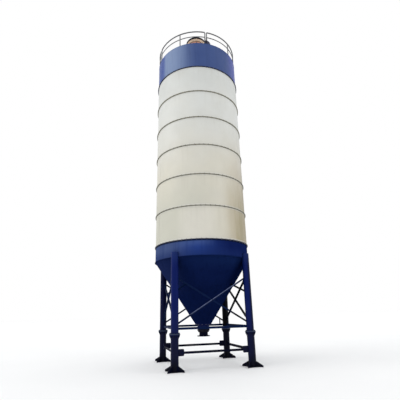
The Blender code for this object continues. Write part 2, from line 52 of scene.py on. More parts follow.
SECTIONS = ["shell_skirt"] + ["shell_band_%d" % (k + 1) for k in range(BANDS)] + ["shell_top"]
SHELL_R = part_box("roof_plate")[1].x
FLANGE_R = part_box("shell_band_1")[1].x
JOINT_Z = [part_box(name)[1].z for name in SECTIONS[:-1]]
SHELL_TOP_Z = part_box("shell_top")[1].z
SKIRT_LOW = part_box("shell_skirt")[0].z
RIM_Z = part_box("handrail_section_1")[0].z
RAIL_TOP_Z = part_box("handrail_section_1")[1].z
HOPPER_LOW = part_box("hopper_cone")[0].z
HOPPER_RIM_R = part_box("hopper_cone")[1].x
POST_LOW, POST_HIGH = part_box("leg_post_front_right")
LEG_X = (POST_LOW.x + POST_HIGH.x) / 2
LEG_FLANGE_R = (POST_HIGH.x - POST_LOW.x) / 2
LEG_JOINT_Z = POST_LOW.z
LEG_TOP_Z = POST_HIGH.z
CROWN_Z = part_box("filter_body")[0].z
BODY_TOP_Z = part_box("filter_body")[1].z
LID_LOW, LID_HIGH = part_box("filter_lid")
LID_R = LID_HIGH.x

# Sizes that the solids were made with
HOPPER_LOW_R = 0.26
HOPPER_RIM_T = 0.02
HOPPER_SLOPE = (SHELL_R - HOPPER_LOW_R) / (SKIRT_LOW - HOPPER_LOW)
LEG_R = 0.1095
LEG_FLANGE_T = 0.02
JOINT_FIN_HEIGHT = 0.09
JOINT_FIN_REACH = 0.148
JOINT_FIN_EDGE = 0.018
JOINT_FIN_T = 0.012
BASE_SIDE = 0.32
BASE_T = 0.02
FOOT_FIN_REACH = 0.32
FOOT_FIN_TIP = 0.045
FOOT_FIN_HEIGHT = 0.15
FOOT_FIN_T = 0.014
TIE_PLATE_REACH = 0.2645
TIE_PLATE_Z = (0.375, 0.555)
TIE_PLATE_T = 0.012
TIE_PLATE_LAP = 0.07
TIE_PLATE_CUT = 0.022
TIE_SIZE = 0.063
TIE_T = 0.008
UPPER_TIE_Z = 1.076
LOWER_TIE_Z = 0.457
BRACE_SIZE = 0.05
BRACE_T = 0.007
BRACE_Z = (1.156, 2.509)
BRACE_MIDDLE_Z = sum(BRACE_Z) / 2
BRACE_RISE = (BRACE_Z[1] - BRACE_Z[0]) / (2 * LEG_X)
STRUT_LEG_Z = 2.087
STRUT_SLOPE = 0.512
BORE_R = 0.11
SPIGOT_R = 0.2
NECK_R = 0.134
NECK_FLANGE_T = 0.037
ROOF_T = 0.02
ROOF_MARGIN_R = SHELL_R - 0.11
CROWN_R = 0.48
RAIL_R = 1.525
RAIL_MIDDLE_Z = 11.32
RAIL_TUBE_R = 0.021
RAIL_POST_R = 0.02
RAIL_MIDDLE_TUBE_R = 0.016
RAIL_JOINTS = (-170.5, -90.5, -10.5, 69.5, 149.5, 189.5)
RAIL_POSTS = (-128, -50, 29.5, 109.5)
RAIL_GAP = 2.4
FILTER_R = 0.32
FILTER_BAND_R = 0.333
FILTER_BAND_LOW = BODY_TOP_Z - 0.066
FILTER_FOOT_R = 0.41
LID_CROWN = 0.03
LID_RIM_HIGH = LID_HIGH.z - LID_CROWN
LID_RIM_LOW = LID_RIM_HIGH - 0.087
CASING_R = 0.26
CASING_CENTRE = (0.455, 0.211)
CASING_DOME = 0.11

# Sizes of the finer detail
AXIS = (0, 0, 0)
PLATE = 0.006
SHARP = 35
ROUND = 192
PIPE_ROUND = 64
SMALL_ROUND = 96
FILTER_ROUND = 128
FLANGE_BAR = 0.008
HALF_GASKET = 0.0015
SOFT_EDGE = 0.0015
TURNED_EDGE = 0.002
BAR_EDGE = 0.0006
CLEAR = 0.0006
CASING_CLEAR = 0.0008
WELD = 0.004
WIDE_WELD = 0.0045
FINE_WELD = 0.0035
BOLTS_ROUND = 64
BOLT_CIRCLE_R = SHELL_R + 0.0165
SMALL_BOLT = 0.019
LARGE_BOLT = 0.024
POST_BOLT_CIRCLE_R = 0.134

# The camera, solved from the photograph
VIEW_TURN = 14.72
VIEW_DISTANCE = 11.141
VIEW_HEIGHT = 1.459
VIEW_PITCH = math.radians(19.17)
VIEW_YAW = -0.015
VIEW_ROLL = math.radians(-1.5)
VIEW_FOCAL_PX = 326.8
PHOTO_PX = 400
SENSOR_MM = 36

# Azimuths at the photograph's right and left edges, and behind
RIGHT_EDGE = -14.7
LEFT_EDGE = 165.3
FAR_SIDE = 75.3

CORNERS = {"front_left": (-1, -1), "front_right": (1, -1), "back_right": (1, 1), "back_left": (-1, 1)}
SIDES = {"front": 0, "right": 90, "back": 180, "left": 270}

# Slot names for some finishes; these tables are built but not stored or used
dict.fromkeys(("flange", "dark_flange", "zinc", "bolt"), "galvanised_steel")
dict.fromkeys(("cream", "brown", "salmon"), "orange_paint")


def new_mesh(name, points, faces):
    """Mesh with the faces of every closed part turned outwards."""
    mesh = bpy.data.meshes.new(name)
    mesh.from_pydata(points, [], faces)
    bm = bmesh.new()
    bm.from_mesh(mesh)
    bmesh.ops.recalc_face_normals(bm, faces=bm.faces)
    bm.to_mesh(mesh)
    bm.free()
    return mesh


def smooth(mesh, sharp):
    """Smooth shading, with sharp edges above an angle."""
    mesh.shade_smooth()
    mesh.set_sharp_from_angle(angle=math.radians(sharp))


def new_object(name, data):
    """Object in the scene."""
    thing = bpy.data.objects.new(name, data)
    bpy.context.scene.collection.objects.link(thing)
    return thing


class Shape:
    """Points and faces of one piece, gathered part by part."""

    def __init__(self, *parts):
        self.points = []
        self.faces = []
        self.marks = []
        for part in parts:
            self.add(part)

    def add(self, part, place=None, mark=0):
        points, faces = part
        base = len(self.points)
        self.points += [place @ Vector(point) if place else Vector(point) for point in points]
        self.faces += [tuple(base + index for index in face) for face in faces]
        self.marks += [mark] * len(faces)
        return self

    def part(self):
        return self.points, self.faces

    def dress(self, node, part, *finishes, **more):
        """Make the piece that stands for one node."""
        return self.build("%s_%s" % (node, part), *finishes, nodes=[node], **more)

    def build(self, name, *finishes, nodes=(), sharp=SHARP, bevel=0):
        """Make the object in its finishes, with smooth shading, under the root body, and hide the nodes it stands
        for.
        """
        mesh = new_mesh(name, self.points, self.faces)
        for finish in finishes:
            mesh.materials.append(LOOKS[finish])
        mesh.polygons.foreach_set("material_index", self.marks)
        smooth(mesh, sharp)
        thing = new_object(name, mesh)
        if bevel:
            modifier = thing.modifiers.new("edges", "BEVEL")
            modifier.width = bevel
            modifier.segments = 2
            modifier.limit_method = "ANGLE"
            modifier.angle_limit = math.radians(40)
        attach(thing, "root")
        if nodes:
            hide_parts(*nodes)
        return thing


def polar(radius, degrees, height=0, centre=AXIS):
    """Point at an azimuth about a centre, which is the silo's axis unless given."""
    angle = math.radians(degrees)
    return Vector((centre[0] + radius * math.cos(angle), centre[1] + radius * math.sin(angle), height))


def shares(steps):
    """Shares from 0 to 1, in even steps."""
    return [step / steps for step in range(steps + 1)]


def spread(count, start=0):
    """Even azimuths round a circle."""
    return [start + 360 * k / count for k in range(count)]


def circle(radius, height, count, centre=AXIS):
    """Points round a level circle."""
    return [polar(radius, degrees, height, centre) for degrees in spread(count)]


def rings(points, count):
    """Point numbers, in rings of this count."""
    return [range(first, first + count) for first in range(0, len(points), count)]


def skin(rows, closed=False, caps=False):
    """Faces between neighbouring rings of point numbers. Points that meet at the axis count once."""
    faces = []
    for low, high in zip(rows, rows[1:] + rows[:1] if closed else rows[1:]):
        for step in range(len(low)):
            after = (step + 1) % len(low)
            face = tuple(dict.fromkeys((low[step], low[after], high[after], high[step])))
            if len(face) > 2:
                faces.append(face)
    if caps:
        faces += [tuple(reversed(rows[0])), tuple(rows[-1])]
    return faces


def turned(section, segments=ROUND):
    """Solid turned about Z. A section that starts on the axis ends there too, and any other is closed."""
    points = []
    rows = []
    for radius, height in section:
        if radius:
            rows.append(range(len(points), len(points) + segments))
            points += circle(radius, height, segments)
        else:
            rows.append([len(points)] * segments)
            points.append(Vector((0, 0, height)))
    return points, skin(rows, closed=section[0][0] > 0)


def swept(path, radius, sides, closed=False, ripple=0):
    """Round bar swept along a path, mitred at its corners, with closed ends."""
    path = [Vector(point) for point in path]
    points = []
    offset = None
    for index, point in enumerate(path):
        before = point - path[index - 1] if index or closed else path[1] - path[0]
        after = path[(index + 1) % len(path)] - point if index + 1 < len(path) or closed else before
        before, after = before.normalized(), after.normalized()
        mitre = (before + after).normalized()
        if offset is None:
            offset = mitre.orthogonal().normalized()
        offset = (offset - mitre * offset.dot(mitre)).normalized()
        across = mitre.cross(offset)
        size = radius * (1 + (ripple if index % 2 else -ripple))
        for side in range(sides):
            angle = math.tau * side / sides
            spoke = size * (math.cos(angle) * offset + math.sin(angle) * across)
            points.append(point + spoke - before * (spoke.dot(mitre) / before.dot(mitre)))
    return points, skin(rings(points, sides), closed, not closed)


def slab(outline, depth):
    """Flat outline of (x, y) points, made thick along Z and centred on its plane."""
    points = [(x, y, z) for z in (-depth / 2, depth / 2) for x, y in outline]
    return points, skin(rings(points, len(outline)), caps=True)


def block(low, high):
    """Box between two corners."""
    outline = [(low[0], low[1]), (high[0], low[1]), (high[0], high[1]), (low[0], high[1])]
    points = [(x, y, z) for z in (low[2], high[2]) for x, y in outline]
    return points, skin(rings(points, 4), caps=True)


def stack(section, sides=6):
    """Closed stack of polygons, from its bottom up."""
    points = [point for radius, height in section for point in circle(radius, height, sides)]
    return points, skin(rings(points, sides), caps=True)


def near(radius, height, *offsets):
    """Points of a section, by their offsets from one of its corners."""
    return [(radius + out, height + up) for out, up in offsets]


def hoop(inner, outer, low, high, edge=SOFT_EDGE):
    """Section of a flat ring with softened outer corners."""
    corners = near(outer, low, (-edge, 0), (0, edge)) + near(outer, high, (0, -edge), (-edge, 0))
    return [(inner, low), *corners, (inner, high)]


def bolt(width, grip):
    """Hexagon bolt on Z: its head below the grip, its washers, nut and thread end above it."""
    across = width / math.sqrt(3)
    half = grip / 2
    out = half + 0.1 * width
    top = out + 0.8 * width
    washer = 0.66 * width
    thread = 0.33 * width
    return Shape(
        stack([(0.88 * across, -out - 0.62 * width), (across, -out - 0.62 * 0.86 * width), (across, -out)]),
        stack([(washer, -out), (washer, -half)], 12),
        stack([(washer, half), (washer, out)], 12),
        stack([(across, out), (across, top - 0.12 * 0.8 * width), (0.88 * across, top)]),
        stack([(thread, top), (thread, top + 0.22 * width), (0.27 * width, top + 0.3 * width)], 8),
    ).part()


def at(point=AXIS, degrees=0):
    """Place at a point, turned about Z."""
    return Matrix.Translation(point) @ Matrix.Rotation(math.radians(degrees), 4, "Z")


def fin_place(centre, degrees):
    """Place for an upright plate on a radius: its outline is in (distance, height)."""
    return at(centre, degrees) @ Matrix.Rotation(math.pi / 2, 4, "X")


def bolt_ring(count, radius, z, one, start=0, centre=AXIS):
    """Ring of bolts about a centre."""
    shape = Shape()
    for degrees in spread(count, start):
        shape.add(one, at(polar(radius, degrees, z, centre), degrees))
    return shape


def weld_line(start, end, bead=WELD):
    """Rippled weld bead along a straight line."""
    start, end = Vector(start), Vector(end)
    steps = max(2, round((end - start).length / 0.007))
    return swept([start.lerp(end, share) for share in shares(steps)], bead, 6, ripple=0.1)


def weld_ring(radius, height, bead=WELD, centre=AXIS):
    """Rippled weld bead round a circle."""
    count = 2 * round(math.pi * radius / 0.01)
    return swept(circle(radius, height, count, centre), bead, 6, closed=True, ripple=0.1)


def seams(azimuths, start, end, bead=WELD):
    """Straight weld beads on a turned piece, between two (radius, height) points."""
    shape = Shape()
    for degrees in azimuths:
        shape.add(weld_line(polar(start[0], degrees, start[1]), polar(end[0], degrees, end[1]), bead))
    return shape.part()


def plate_welds(centre, degrees, apart, start, end, bead=WIDE_WELD):
    """Weld beads on both faces of an upright plate on a radius, between two (distance, height) points."""
    shape = Shape()
    for side in (-apart, apart):
        foot = polar(side, degrees + 90, 0, centre)
        shape.add(weld_line(*[polar(far, degrees, height, foot) for far, height in (start, end)], bead))
    return shape.part()


def cut_away(thing, part):
    """Cut a closed part from an object, exactly."""
    cutter = new_object("notch", new_mesh("notch", *part))
    modifier = thing.modifiers.new("notch", "BOOLEAN")
    modifier.operation = "DIFFERENCE"
    modifier.solver = "EXACT"
    modifier.object = cutter
    bpy.context.view_layer.update()
    result = bpy.data.meshes.new_from_object(thing.evaluated_get(bpy.context.evaluated_depsgraph_get()))
    thing.modifiers.clear()
    thing.data = result
    smooth(result, SHARP)
    bpy.data.objects.remove(cutter, do_unlink=True)


# Materials


def fill(tree, node, inputs):
    """Set each input of a node to a number or colour, or link it."""
    for key, value in inputs.items():
        socket = node.inputs[key]
        if isinstance(value, (int, float)):
            socket.default_value = value
        elif isinstance(value, tuple):
            socket.default_value = (*value, 1) if len(value) < len(socket.default_value) else value
        else:
            tree.links.new(value, socket)


def new_node(tree, kind, inputs, **settings):
    """Outputs of a new node with these settings and inputs."""
    node = tree.nodes.new("ShaderNode" + kind)
    for key, value in settings.items():
        setattr(node, key, value)
    fill(tree, node, inputs)
    return node.outputs


class Nodes:
    """Short way to write a material's node tree. Its colour and bumps build up layer by layer."""

    def __init__(self, name, colour):
        self.material = bpy.data.materials.new(name)
        self.material.use_nodes = True
        self.tree = self.material.node_tree
        self.place = self.node("TexCoord", {})["Object"]
        self.x, self.y, self.z = self.node("SeparateXYZ", {0: self.place})
        self.colour = colour
        self.normal = None

    def node(self, kind, inputs, **settings):
        return new_node(self.tree, kind, inputs, **settings)

    def maths(self, kind, *values, clamp=False):
        return self.node("Math", dict(enumerate(values)), operation=kind, use_clamp=clamp)[0]

    def times(self, product, *factors):
        for factor in factors:
            product = self.maths("MULTIPLY", product, factor)
        return product

    def noise(self, scale, detail=4, rough=0.55, stretch=(1, 1, 1), offset=(0, 0, 0)):
        place = self.node("Mapping", {"Vector": self.place, "Scale": stretch, "Location": offset})[0]
        inputs = {"Vector": place, "Scale": scale, "Detail": detail, "Roughness": rough}
        return self.node("TexNoise", inputs)["Fac"]

    def span(self, value, low, high, start=0, end=1):
        """Smooth step of a value between two limits."""
        inputs = dict(enumerate((value, low, high, start, end)))
        return self.node("MapRange", inputs, interpolation_type="SMOOTHSTEP")[0]

    def height(self, *limits):
        return self.span(self.z, *limits)

    def side(self, degrees, radius=SHELL_R):
        """-1 to 1 across the silo, 1 on the side that faces this azimuth."""
        angle = math.radians(degrees)
        along = self.times(self.x, math.cos(angle) / radius)
        return self.maths("MULTIPLY_ADD", self.y, math.sin(angle) / radius, along)

    def face(self, degrees, *limits, radius=SHELL_R):
        return self.span(self.side(degrees, radius), *limits)

    def tint(self, shade, *masks):
        """Turn the colour to a shade, as far as the product of the masks."""
        inputs = {0: self.times(*masks), 6: self.colour, 7: shade}
        self.colour = self.node("Mix", inputs, data_type="RGBA")[2]

    def bump(self, height, distance, strength=0.5):
        inputs = {"Strength": strength, "Distance": distance, "Height": height}
        if self.normal is not None:
            inputs["Normal"] = self.normal
        self.normal = self.node("Bump", inputs)[0]

    def finish(self, rough, **more):
        inputs = {"Base Color": self.colour, "Roughness": rough, "Normal": self.normal}
        inputs.update({key.replace("_", " "): value for key, value in more.items()})
        fill(self.tree, self.tree.nodes["Principled BSDF"], inputs)
        return self.material


def shell_white():
    """Off-white paint, pale high up and tan low down, with dust and runs below each flange, painted shade on the
    right and a painted lighter patch low on the front.
    """
    n = Nodes("shell_white_paint", (0.63, 0.64, 0.618))
    patch = n.noise(1.6, 5, offset=(3, 1, 7))
    drift = n.noise(1, 4, 0.6, offset=(9, 2, 5), stretch=(1.3, 1.3, 0.8))
    drips = n.noise(1, 5, 0.62, offset=(2, 7, 1), stretch=(4.5, 4.5, 0.4))
    ragged = n.maths("MULTIPLY_ADD", n.maths("SUBTRACT", drips, 0.5), 5, n.z)
    broad = n.maths("SUBTRACT", n.noise(0.55, 3), 0.5)
    n.tint((0.62, 0.584, 0.484), n.maths("MULTIPLY_ADD", broad, 0.9, n.height(9.2, 4.3), clamp=True))
    # Tan dirt low down on the right, which also serves as painted shade on that side
    n.tint((0.395, 0.308, 0.188), n.face(-12, 0.3, 1), n.height(7.6, 4),
           n.span(drift, 0.4, 0.6, 0.7, 1))
    n.tint((0.47, 0.475, 0.405), n.face(-150, 0.2, 0.9), n.height(6.3, 4.3), 0.66)
    # Moss low on the right; a smoky darker tone high on the right, partly dirt and partly painted shade; and a
    # painted shade strip along the right edge
    n.tint((0.27, 0.225, 0.095), n.face(RIGHT_EDGE, 0.42, 0.97), n.height(6.3, 4.2),
           n.face(FAR_SIDE, 0.75, -0.05, 0, 0.9), n.span(drips, 0.38, 0.56, 0.6, 1))
    n.tint((0.33, 0.31, 0.27), n.face(RIGHT_EDGE, 0.6, 0.99), n.span(ragged, 7.9, 6.5), 0.24)
    n.tint((0.2, 0.155, 0.09), n.face(RIGHT_EDGE, 0.915, 0.99), n.span(ragged, 7.7, 5.6),
           n.face(FAR_SIDE, 0.45, -0.05, 0, 0.85), n.span(drips, 0.42, 0.58, 0.3, 1))
    n.tint((0.52, 0.535, 0.515), n.height(8.7, 9.5), 0.4)
    # Painted light: a paler patch low on the front
    n.tint((0.69, 0.66, 0.59), n.face(-108, 0.88, 0.99), n.height(4.8, 4.4), 0.6)
    n.tint((0.46, 0.45, 0.4), n.span(patch, 0.35, 0.72), 0.16)
    # Runs, washed ledges and rust that start at each flange
    along = n.maths("DIVIDE", n.maths("SUBTRACT", n.z, JOINT_Z[0]), JOINT_Z[1] - JOINT_Z[0])
    along = n.maths("FRACT", along)
    runs = n.noise(1, 4, 0.62, stretch=(9, 9, 0.28))
    fine = n.noise(1, 3, 0.6, stretch=(38, 38, 0.9))
    n.tint((0.38, 0.35, 0.29), n.span(runs, 0.5, 0.72), n.span(along, 0.15, 0.98),
           n.span(fine, 0.3, 0.7, 0.5, 1), 0.17)
    ledge = n.maths("ADD", n.span(along, 0.075, 0.03), n.span(along, 0.945, 0.975))
    n.tint((0.7, 0.695, 0.665), ledge, n.span(patch, 0.25, 0.6, 0.55, 1), 0.5)
    rust = n.noise(1, 2, 0.5, stretch=(26, 26, 1.6))
    n.tint((0.33, 0.15, 0.06), n.span(rust, 0.73, 0.8), n.span(along, 0.7, 0.99), 0.55)
    n.tint((0.3, 0.27, 0.22), n.span(n.noise(46, 2, 0.5), 0.74, 0.8), 0.35)
    n.bump(n.noise(2.2, 2), 0.006)
    n.bump(n.noise(240, 2), 0.0004)
    return n.finish(n.span(patch, 0.2, 0.8, 0.44, 0.62))


def blue_paint(name, base, faded, rough, dust, seed, shine, tint=None, fade=0.6, streak=0.3):
    """Blue gloss paint with chalky patches, runs, dust and a few chips down to rust."""
    n = Nodes(name, base)
    offset = (seed, 2 * seed, seed)
    patch = n.noise(5, 5, 0.6, offset=offset)
    n.tint(faded, n.span(n.noise(0.9, 4, offset=offset), 0.32, 0.7), fade)
    if tint:
        tint(n)
    runs = n.noise(1, 4, 0.6, stretch=(10, 10, 0.5), offset=offset)
    n.tint(tuple(value * 0.62 for value in base), n.span(runs, 0.46, 0.7), streak)
    pale = n.noise(1, 3, 0.6, stretch=(22, 22, 0.8), offset=(seed + 4, seed, 0))
    powder = n.times(n.span(pale, 0.58, 0.78), n.span(patch, 0.35, 0.65))
    n.tint((0.24, 0.25, 0.27), powder, dust)
    chips = n.span(n.noise(34, 3, 0.65, offset=offset), 0.735, 0.765)
    n.tint((0.06, 0.026, 0.014), chips, 0.45)
    n.bump(n.noise(3, 2, offset=offset), 0.004, 0.4)
    n.bump(n.noise(260, 2), 0.0004)
    n.bump(chips, 0.0005, -0.6)
    gloss = n.maths("ADD", n.span(patch, 0.2, 0.8, rough - 0.06, rough + 0.12), n.times(powder, 0.2))
    return n.finish(gloss, Specular_IOR_Level=shine)


def top_tint(n):
    """Painted highlight on the left where the light reflects, and painted reflection tints where the sides turn
    away: violet on the far right, a more saturated blue on the far left.
    """
    # Painted highlight on the left side
    pale = n.face(-153, 0.62, 1.02)
    n.tint((0.2, 0.27, 0.43), pale, n.span(pale, 0, 1, 0.45, 0.88))
    # Painted reflection tints at the sides: violet on the far right, a more saturated blue on the far left
    n.tint((0.085, 0.1, 0.36), n.face(RIGHT_EDGE, 0.7, 0.96), n.face(FAR_SIDE, 0.45, 0.03), 0.85)
    n.tint((0.045, 0.082, 0.285), n.face(LEFT_EDGE, 0.745, 0.835), n.face(FAR_SIDE, 0.7, 0.02), 0.95)


def skirt_tint(n):
    """Painted light to the left and painted shade to the right, darker below, with a painted highlight high on the
    front and a painted shadow with some dirt just under its top flange.
    """
    # Painted light on the left, painted shade on the right
    n.tint((0.064, 0.092, 0.192), n.face(-172, 0.42, 1), 0.84)
    n.tint((0.004, 0.0098, 0.068), n.face(-34, 0.22, 0.84), 0.95)
    # Painted highlight high on the front
    n.tint((0.07, 0.115, 0.28), n.face(-112, 0.9, 0.995), n.height(3.3, 3.52), 0.45)
    n.tint((0.01, 0.022, 0.105), n.height(3.4, 3.12), 0.55)
    # Painted shadow, with some dirt, just under the flange
    n.tint((0.004, 0.007, 0.022), n.height(JOINT_Z[0] - 0.052, JOINT_Z[0] - 0.034), 0.85)


def cone_tint(n):
    """Lighter towards the top, painted light to the left, and painted shade where the right side turns away."""
    radius = n.maths("MULTIPLY_ADD", n.z, HOPPER_SLOPE, HOPPER_LOW_R - HOPPER_SLOPE * HOPPER_LOW)
    across = n.maths("DIVIDE", n.side(RIGHT_EDGE, 1), radius)
    n.tint((0.0046, 0.013, 0.062), n.height(SKIRT_LOW - 0.45, SKIRT_LOW - 0.1),
           n.span(across, -0.5, 0.5, 0.3, 1))
    # Painted light on the left side
    n.tint((0.009, 0.016, 0.064), n.span(across, -0.3, -0.95), n.height(1.9, 2.5))
    # Painted shade where the right side turns away
    n.tint((0.0008, 0.004, 0.027), n.span(across, 0.66, 0.9), n.height(1.8, 2.5, 0.2, 0.95))


def bar_tint(n):
    """Painted shade: braces on the right-hand half of the frame darkened to near black."""
    above_tie = n.height(UPPER_TIE_Z + 0.04, UPPER_TIE_Z + 0.1)
    # Painted shade on the right-hand braces
    n.tint((0.0005, 0.0007, 0.0014), n.span(n.x, 0.3, 0.8, 0, 0.95), above_tie)


def leg_tint(n):
    """Grimy towards the ground and below the joint, with painted shade down both sides of the front right leg and
    on the inner faces of the back legs.
    """
    # Painted shade down both sides of the front right leg
    across = n.maths("SUBTRACT", n.side(-25.5, 1), LEG_X * polar(1, 25.5).dot((1, 1, 0)))
    right = n.span(across, 0.015, 0.098, 0, 0.92)
    shaded_flank = n.maths("MAXIMUM", right, n.span(across, -0.08, -0.1, 0, 0.7))
    n.tint((0.0012, 0.0028, 0.02), shaded_flank, n.span(n.x, 0.2, 0.6), n.span(n.y, 0.4, -0.4))
    inner = n.span(n.y, LEG_X + 0.045, LEG_X - 0.025)
    n.tint((0.006, 0.0072, 0.027), n.height(1.9, 0.3), 0.85)
    # Painted shade on the inner faces of the back legs, near black on the back right one
    n.tint((0.0012, 0.002, 0.015), n.span(n.y, -0.4, 0.9), 0.85, inner)
    n.tint((0.0008, 0.0009, 0.0018), n.face(45, 0.2, 0.8, radius=1.59), inner)
    n.tint((0.013, 0.029, 0.125), n.height(2.75, 3.25), n.span(n.y, 0.4, -0.4), 0.65)
    n.tint((0.004, 0.0042, 0.015), n.height(LEG_JOINT_Z + 0.004, LEG_JOINT_Z - 0.03), 0.6)
    n.tint((0.0016, 0.0018, 0.0045), n.height(0.42, 0.1), 0.85)


def brace_tint(n):
    """Painted highlight along the upper half of the front brace's middle length."""
    up = n.maths("SUBTRACT", n.maths("MULTIPLY_ADD", n.x, -BRACE_RISE, n.z), BRACE_MIDDLE_Z)
    # Painted highlight on the brace's upper lip
    n.tint((0.12, 0.145, 0.255), n.span(up, -0.004, 0.008), n.span(n.x, -0.8, -0.55), n.span(n.x, 0.9, 0.7))


def flange_steel():
    """Dark weathered steel of the flange rings, with dust on top and a little rust."""
    n = Nodes("flange_steel", (0.166, 0.16, 0.116))
    patch = n.noise(7, 5, 0.6)
    n.tint((0.248, 0.238, 0.178), n.span(patch, 0.3, 0.7))
    n.tint((0.15, 0.075, 0.035), n.span(n.noise(11, 4, 0.65, offset=(5, 0, 2)), 0.56, 0.74), 0.45)
    n.bump(n.noise(160, 4), 0.0008, 0.6)
    return n.finish(n.span(patch, 0.2, 0.8, 0.55, 0.8))


def galvanised(name, shade, grime_and_shade=0):
    """Dull zinc with soft spangle and a trace of rust; on the handrail, dirt with painted shade, darkest on the top
    tube, and near-black painted shade low beside the filter.
    """
    n = Nodes(name, tuple(shade * value for value in (0.3, 0.31, 0.32)))
    n.tint(tuple(shade * value for value in (0.44, 0.45, 0.45)), n.span(n.noise(9), 0.3, 0.7))
    cells = n.node("TexVoronoi", {"Scale": 90, "Vector": n.place})["Color"]
    spangle = n.node("SeparateColor", {0: cells})[0]
    n.tint((0.52, 0.53, 0.54), spangle, 0.22)
    rust = n.span(n.noise(18, 4, 0.65), 0.66, 0.78)
    n.tint((0.2, 0.1, 0.05), rust, 0.5)
    if grime_and_shade:
        # Painted shade with dirt on the handrail, full on the top tube, lighter lower down
        shade_below_top = n.face(RAIL_JOINTS[0], 0.965, 0.985, 0.72, 0.15, radius=RAIL_R)
        n.tint((0.06, 0.062, 0.065), n.height(RAIL_TOP_Z - 0.052, RAIL_TOP_Z - 0.042, shade_below_top, 1), grime_and_shade)
        # Painted shade, near black, on the handrail's low parts at the second joint, beside the filter
        n.tint((0.006, 0.006, 0.012), n.face(RAIL_JOINTS[1], 0.97, 0.99, radius=RAIL_R),
               n.height(RIM_Z + 0.36, RIM_Z + 0.24), 0.95)
    n.bump(n.noise(220, 3), 0.0003)
    metal = n.times(n.span(rust, 0, 1, 1, 0), 0.75)
    return n.finish(n.span(spangle, 0, 1, 0.42, 0.62), Metallic=metal)


def black_enamel(name, rough, dusty):
    """Near-black paint or rubber with dust in its low spots."""
    n = Nodes(name, (0.006, 0.006, 0.011))
    patch = n.noise(14, 5, 0.6)
    n.tint((0.014, 0.014, 0.022), n.span(patch, 0.35, 0.75))
    n.tint((0.16, 0.15, 0.13), n.span(n.noise(60, 3), 0.58, 0.74), dusty)
    n.bump(n.noise(180, 3), 0.0005)
    return n.finish(n.span(patch, 0.2, 0.8, rough, rough + 0.22), Specular_IOR_Level=0.1)


def tinted_paint(name, base, other, rough, runs):
    """Light or warm paint with broad tone change, thin runs and dust."""
    n = Nodes(name, base)
    broad = n.noise(4)
    n.tint(other, n.span(broad, 0.3, 0.7))
    run = n.noise(1, 4, 0.6, stretch=(26, 26, 2))
    n.tint(tuple(value * 0.55 for value in base), n.span(run, 0.5, 0.74), runs)
    n.tint((0.12, 0.08, 0.05), n.span(n.noise(90, 2), 0.7, 0.78), 0.4)
    n.bump(n.noise(200, 2), 0.0004)
    return n.finish(n.span(broad, 0.2, 0.8, rough, rough + 0.16))


# Blue paints: name, base and faded colour, rough, dust, seed, shine, own tint, fade and streak
BAR_BLUES = ((0.0026, 0.009, 0.04), (0.004, 0.0125, 0.055))
BLUES = {
    # The top's paler, greyer blue is partly a painted sky reflection
    "top": ("faded_blue_paint", (0.043, 0.074, 0.205), (0.053, 0.09, 0.235), 0.4, 0.06, 1, 0.1, top_tint, 0.6, 0.2),
    "skirt": ("skirt_blue_paint", (0.016, 0.04, 0.188), (0.021, 0.048, 0.212), 0.38, 0.02, 2, 0, skirt_tint),
    # The cone's blue is far darker than the skirt's: painted shade, as the cone faces down
    "cone": ("cone_blue_paint", (0.003, 0.008, 0.046), (0.004, 0.01, 0.053), 0.52, 0.01, 3, 0, cone_tint, 0.5),
    "leg": ("leg_blue_paint", (0.0018, 0.008, 0.084), (0.003, 0.011, 0.104), 0.38, 0.02, 4, 0.06, leg_tint),
    # The joint flanges' paler grey-blue is partly rubbed paint and partly a painted sky reflection on their tops
    "rubbed": ("rubbed_blue_paint", (0.036, 0.048, 0.085), (0.05, 0.064, 0.11), 0.4, 0.1, 8, 0.1),
    "bar": ("brace_blue_paint", *BAR_BLUES, 0.42, 0.02, 5, 0.02, bar_tint),
    "tie": ("grimy_tie_paint", (0.0012, 0.0018, 0.011), (0.0022, 0.003, 0.017), 0.45, 0.02, 10, 0.04),
    "worn_bar": ("worn_brace_paint", *BAR_BLUES, 0.45, 0.04, 9, 0.05, brace_tint, 0.6, 0.2),
    "dark_flange": ("skirt_flange_paint", (0.006, 0.01, 0.04), (0.012, 0.018, 0.06), 0.45, 0.1, 6, 0.2, None, 0.5),
    "casing": ("casing_navy_paint", (0.02, 0.022, 0.058), (0.03, 0.03, 0.08), 0.4, 0.05, 7, 0.2, None, 0.5),
}

LOOKS = {key: blue_paint(*values) for key, values in BLUES.items()}
LOOKS.update({
    "white": shell_white(),
    "flange": flange_steel(),
    "zinc": galvanised("galvanised_tube", 0.78, 0.75),
    "bolt": galvanised("bolt_zinc", 0.38),
    "black": black_enamel("black_enamel", 0.46, 0.06),
    "rubber": black_enamel("black_rubber_seal", 0.6, 0.03),
    # Cream on the lid's underside is partly a painted highlight; the dark red-brown band is partly a painted shadow
    # under the lid
    "cream": tinted_paint("cream_paint", (0.9, 0.64, 0.4), (0.93, 0.76, 0.55), 0.3, 0.1),
    "brown": tinted_paint("red_brown_paint", (0.08, 0.022, 0.004), (0.13, 0.038, 0.007), 0.42, 0.3),
    "salmon": tinted_paint("salmon_paint", (0.56, 0.27, 0.18), (0.64, 0.34, 0.24), 0.42, 0.25),
})


# The shell, hopper and outlet


def plate_wave(degrees, share, seed):
    """Slight unevenness of a rolled plate in metres, none at its two flanges."""
    angle = math.radians(degrees)
    wave = math.sin(5 * angle + seed) + 0.7 * math.sin(9 * angle + 2.3 * seed + 3 * share)
    wave += 0.5 * math.sin(17 * angle - seed + 7 * share)
    return 0.0011 * math.sin(math.pi * share) ** 0.5 * wave


def shell_skin(low, high, seed):
    """Wall of one shell ring: thin rolled plate, a little uneven and set back to leave room for that."""
    mean = SHELL_R - 0.0015
    points = []
    for share in shares(14):
        z = low + (high - low) * share
        points += [polar(mean + plate_wave(degrees, share, seed), degrees, z) for degrees in spread(ROUND)]
    points += circle(SHELL_R - PLATE, high, ROUND) + circle(SHELL_R - PLATE, low, ROUND)
    return points, skin(rings(points, ROUND), closed=True)


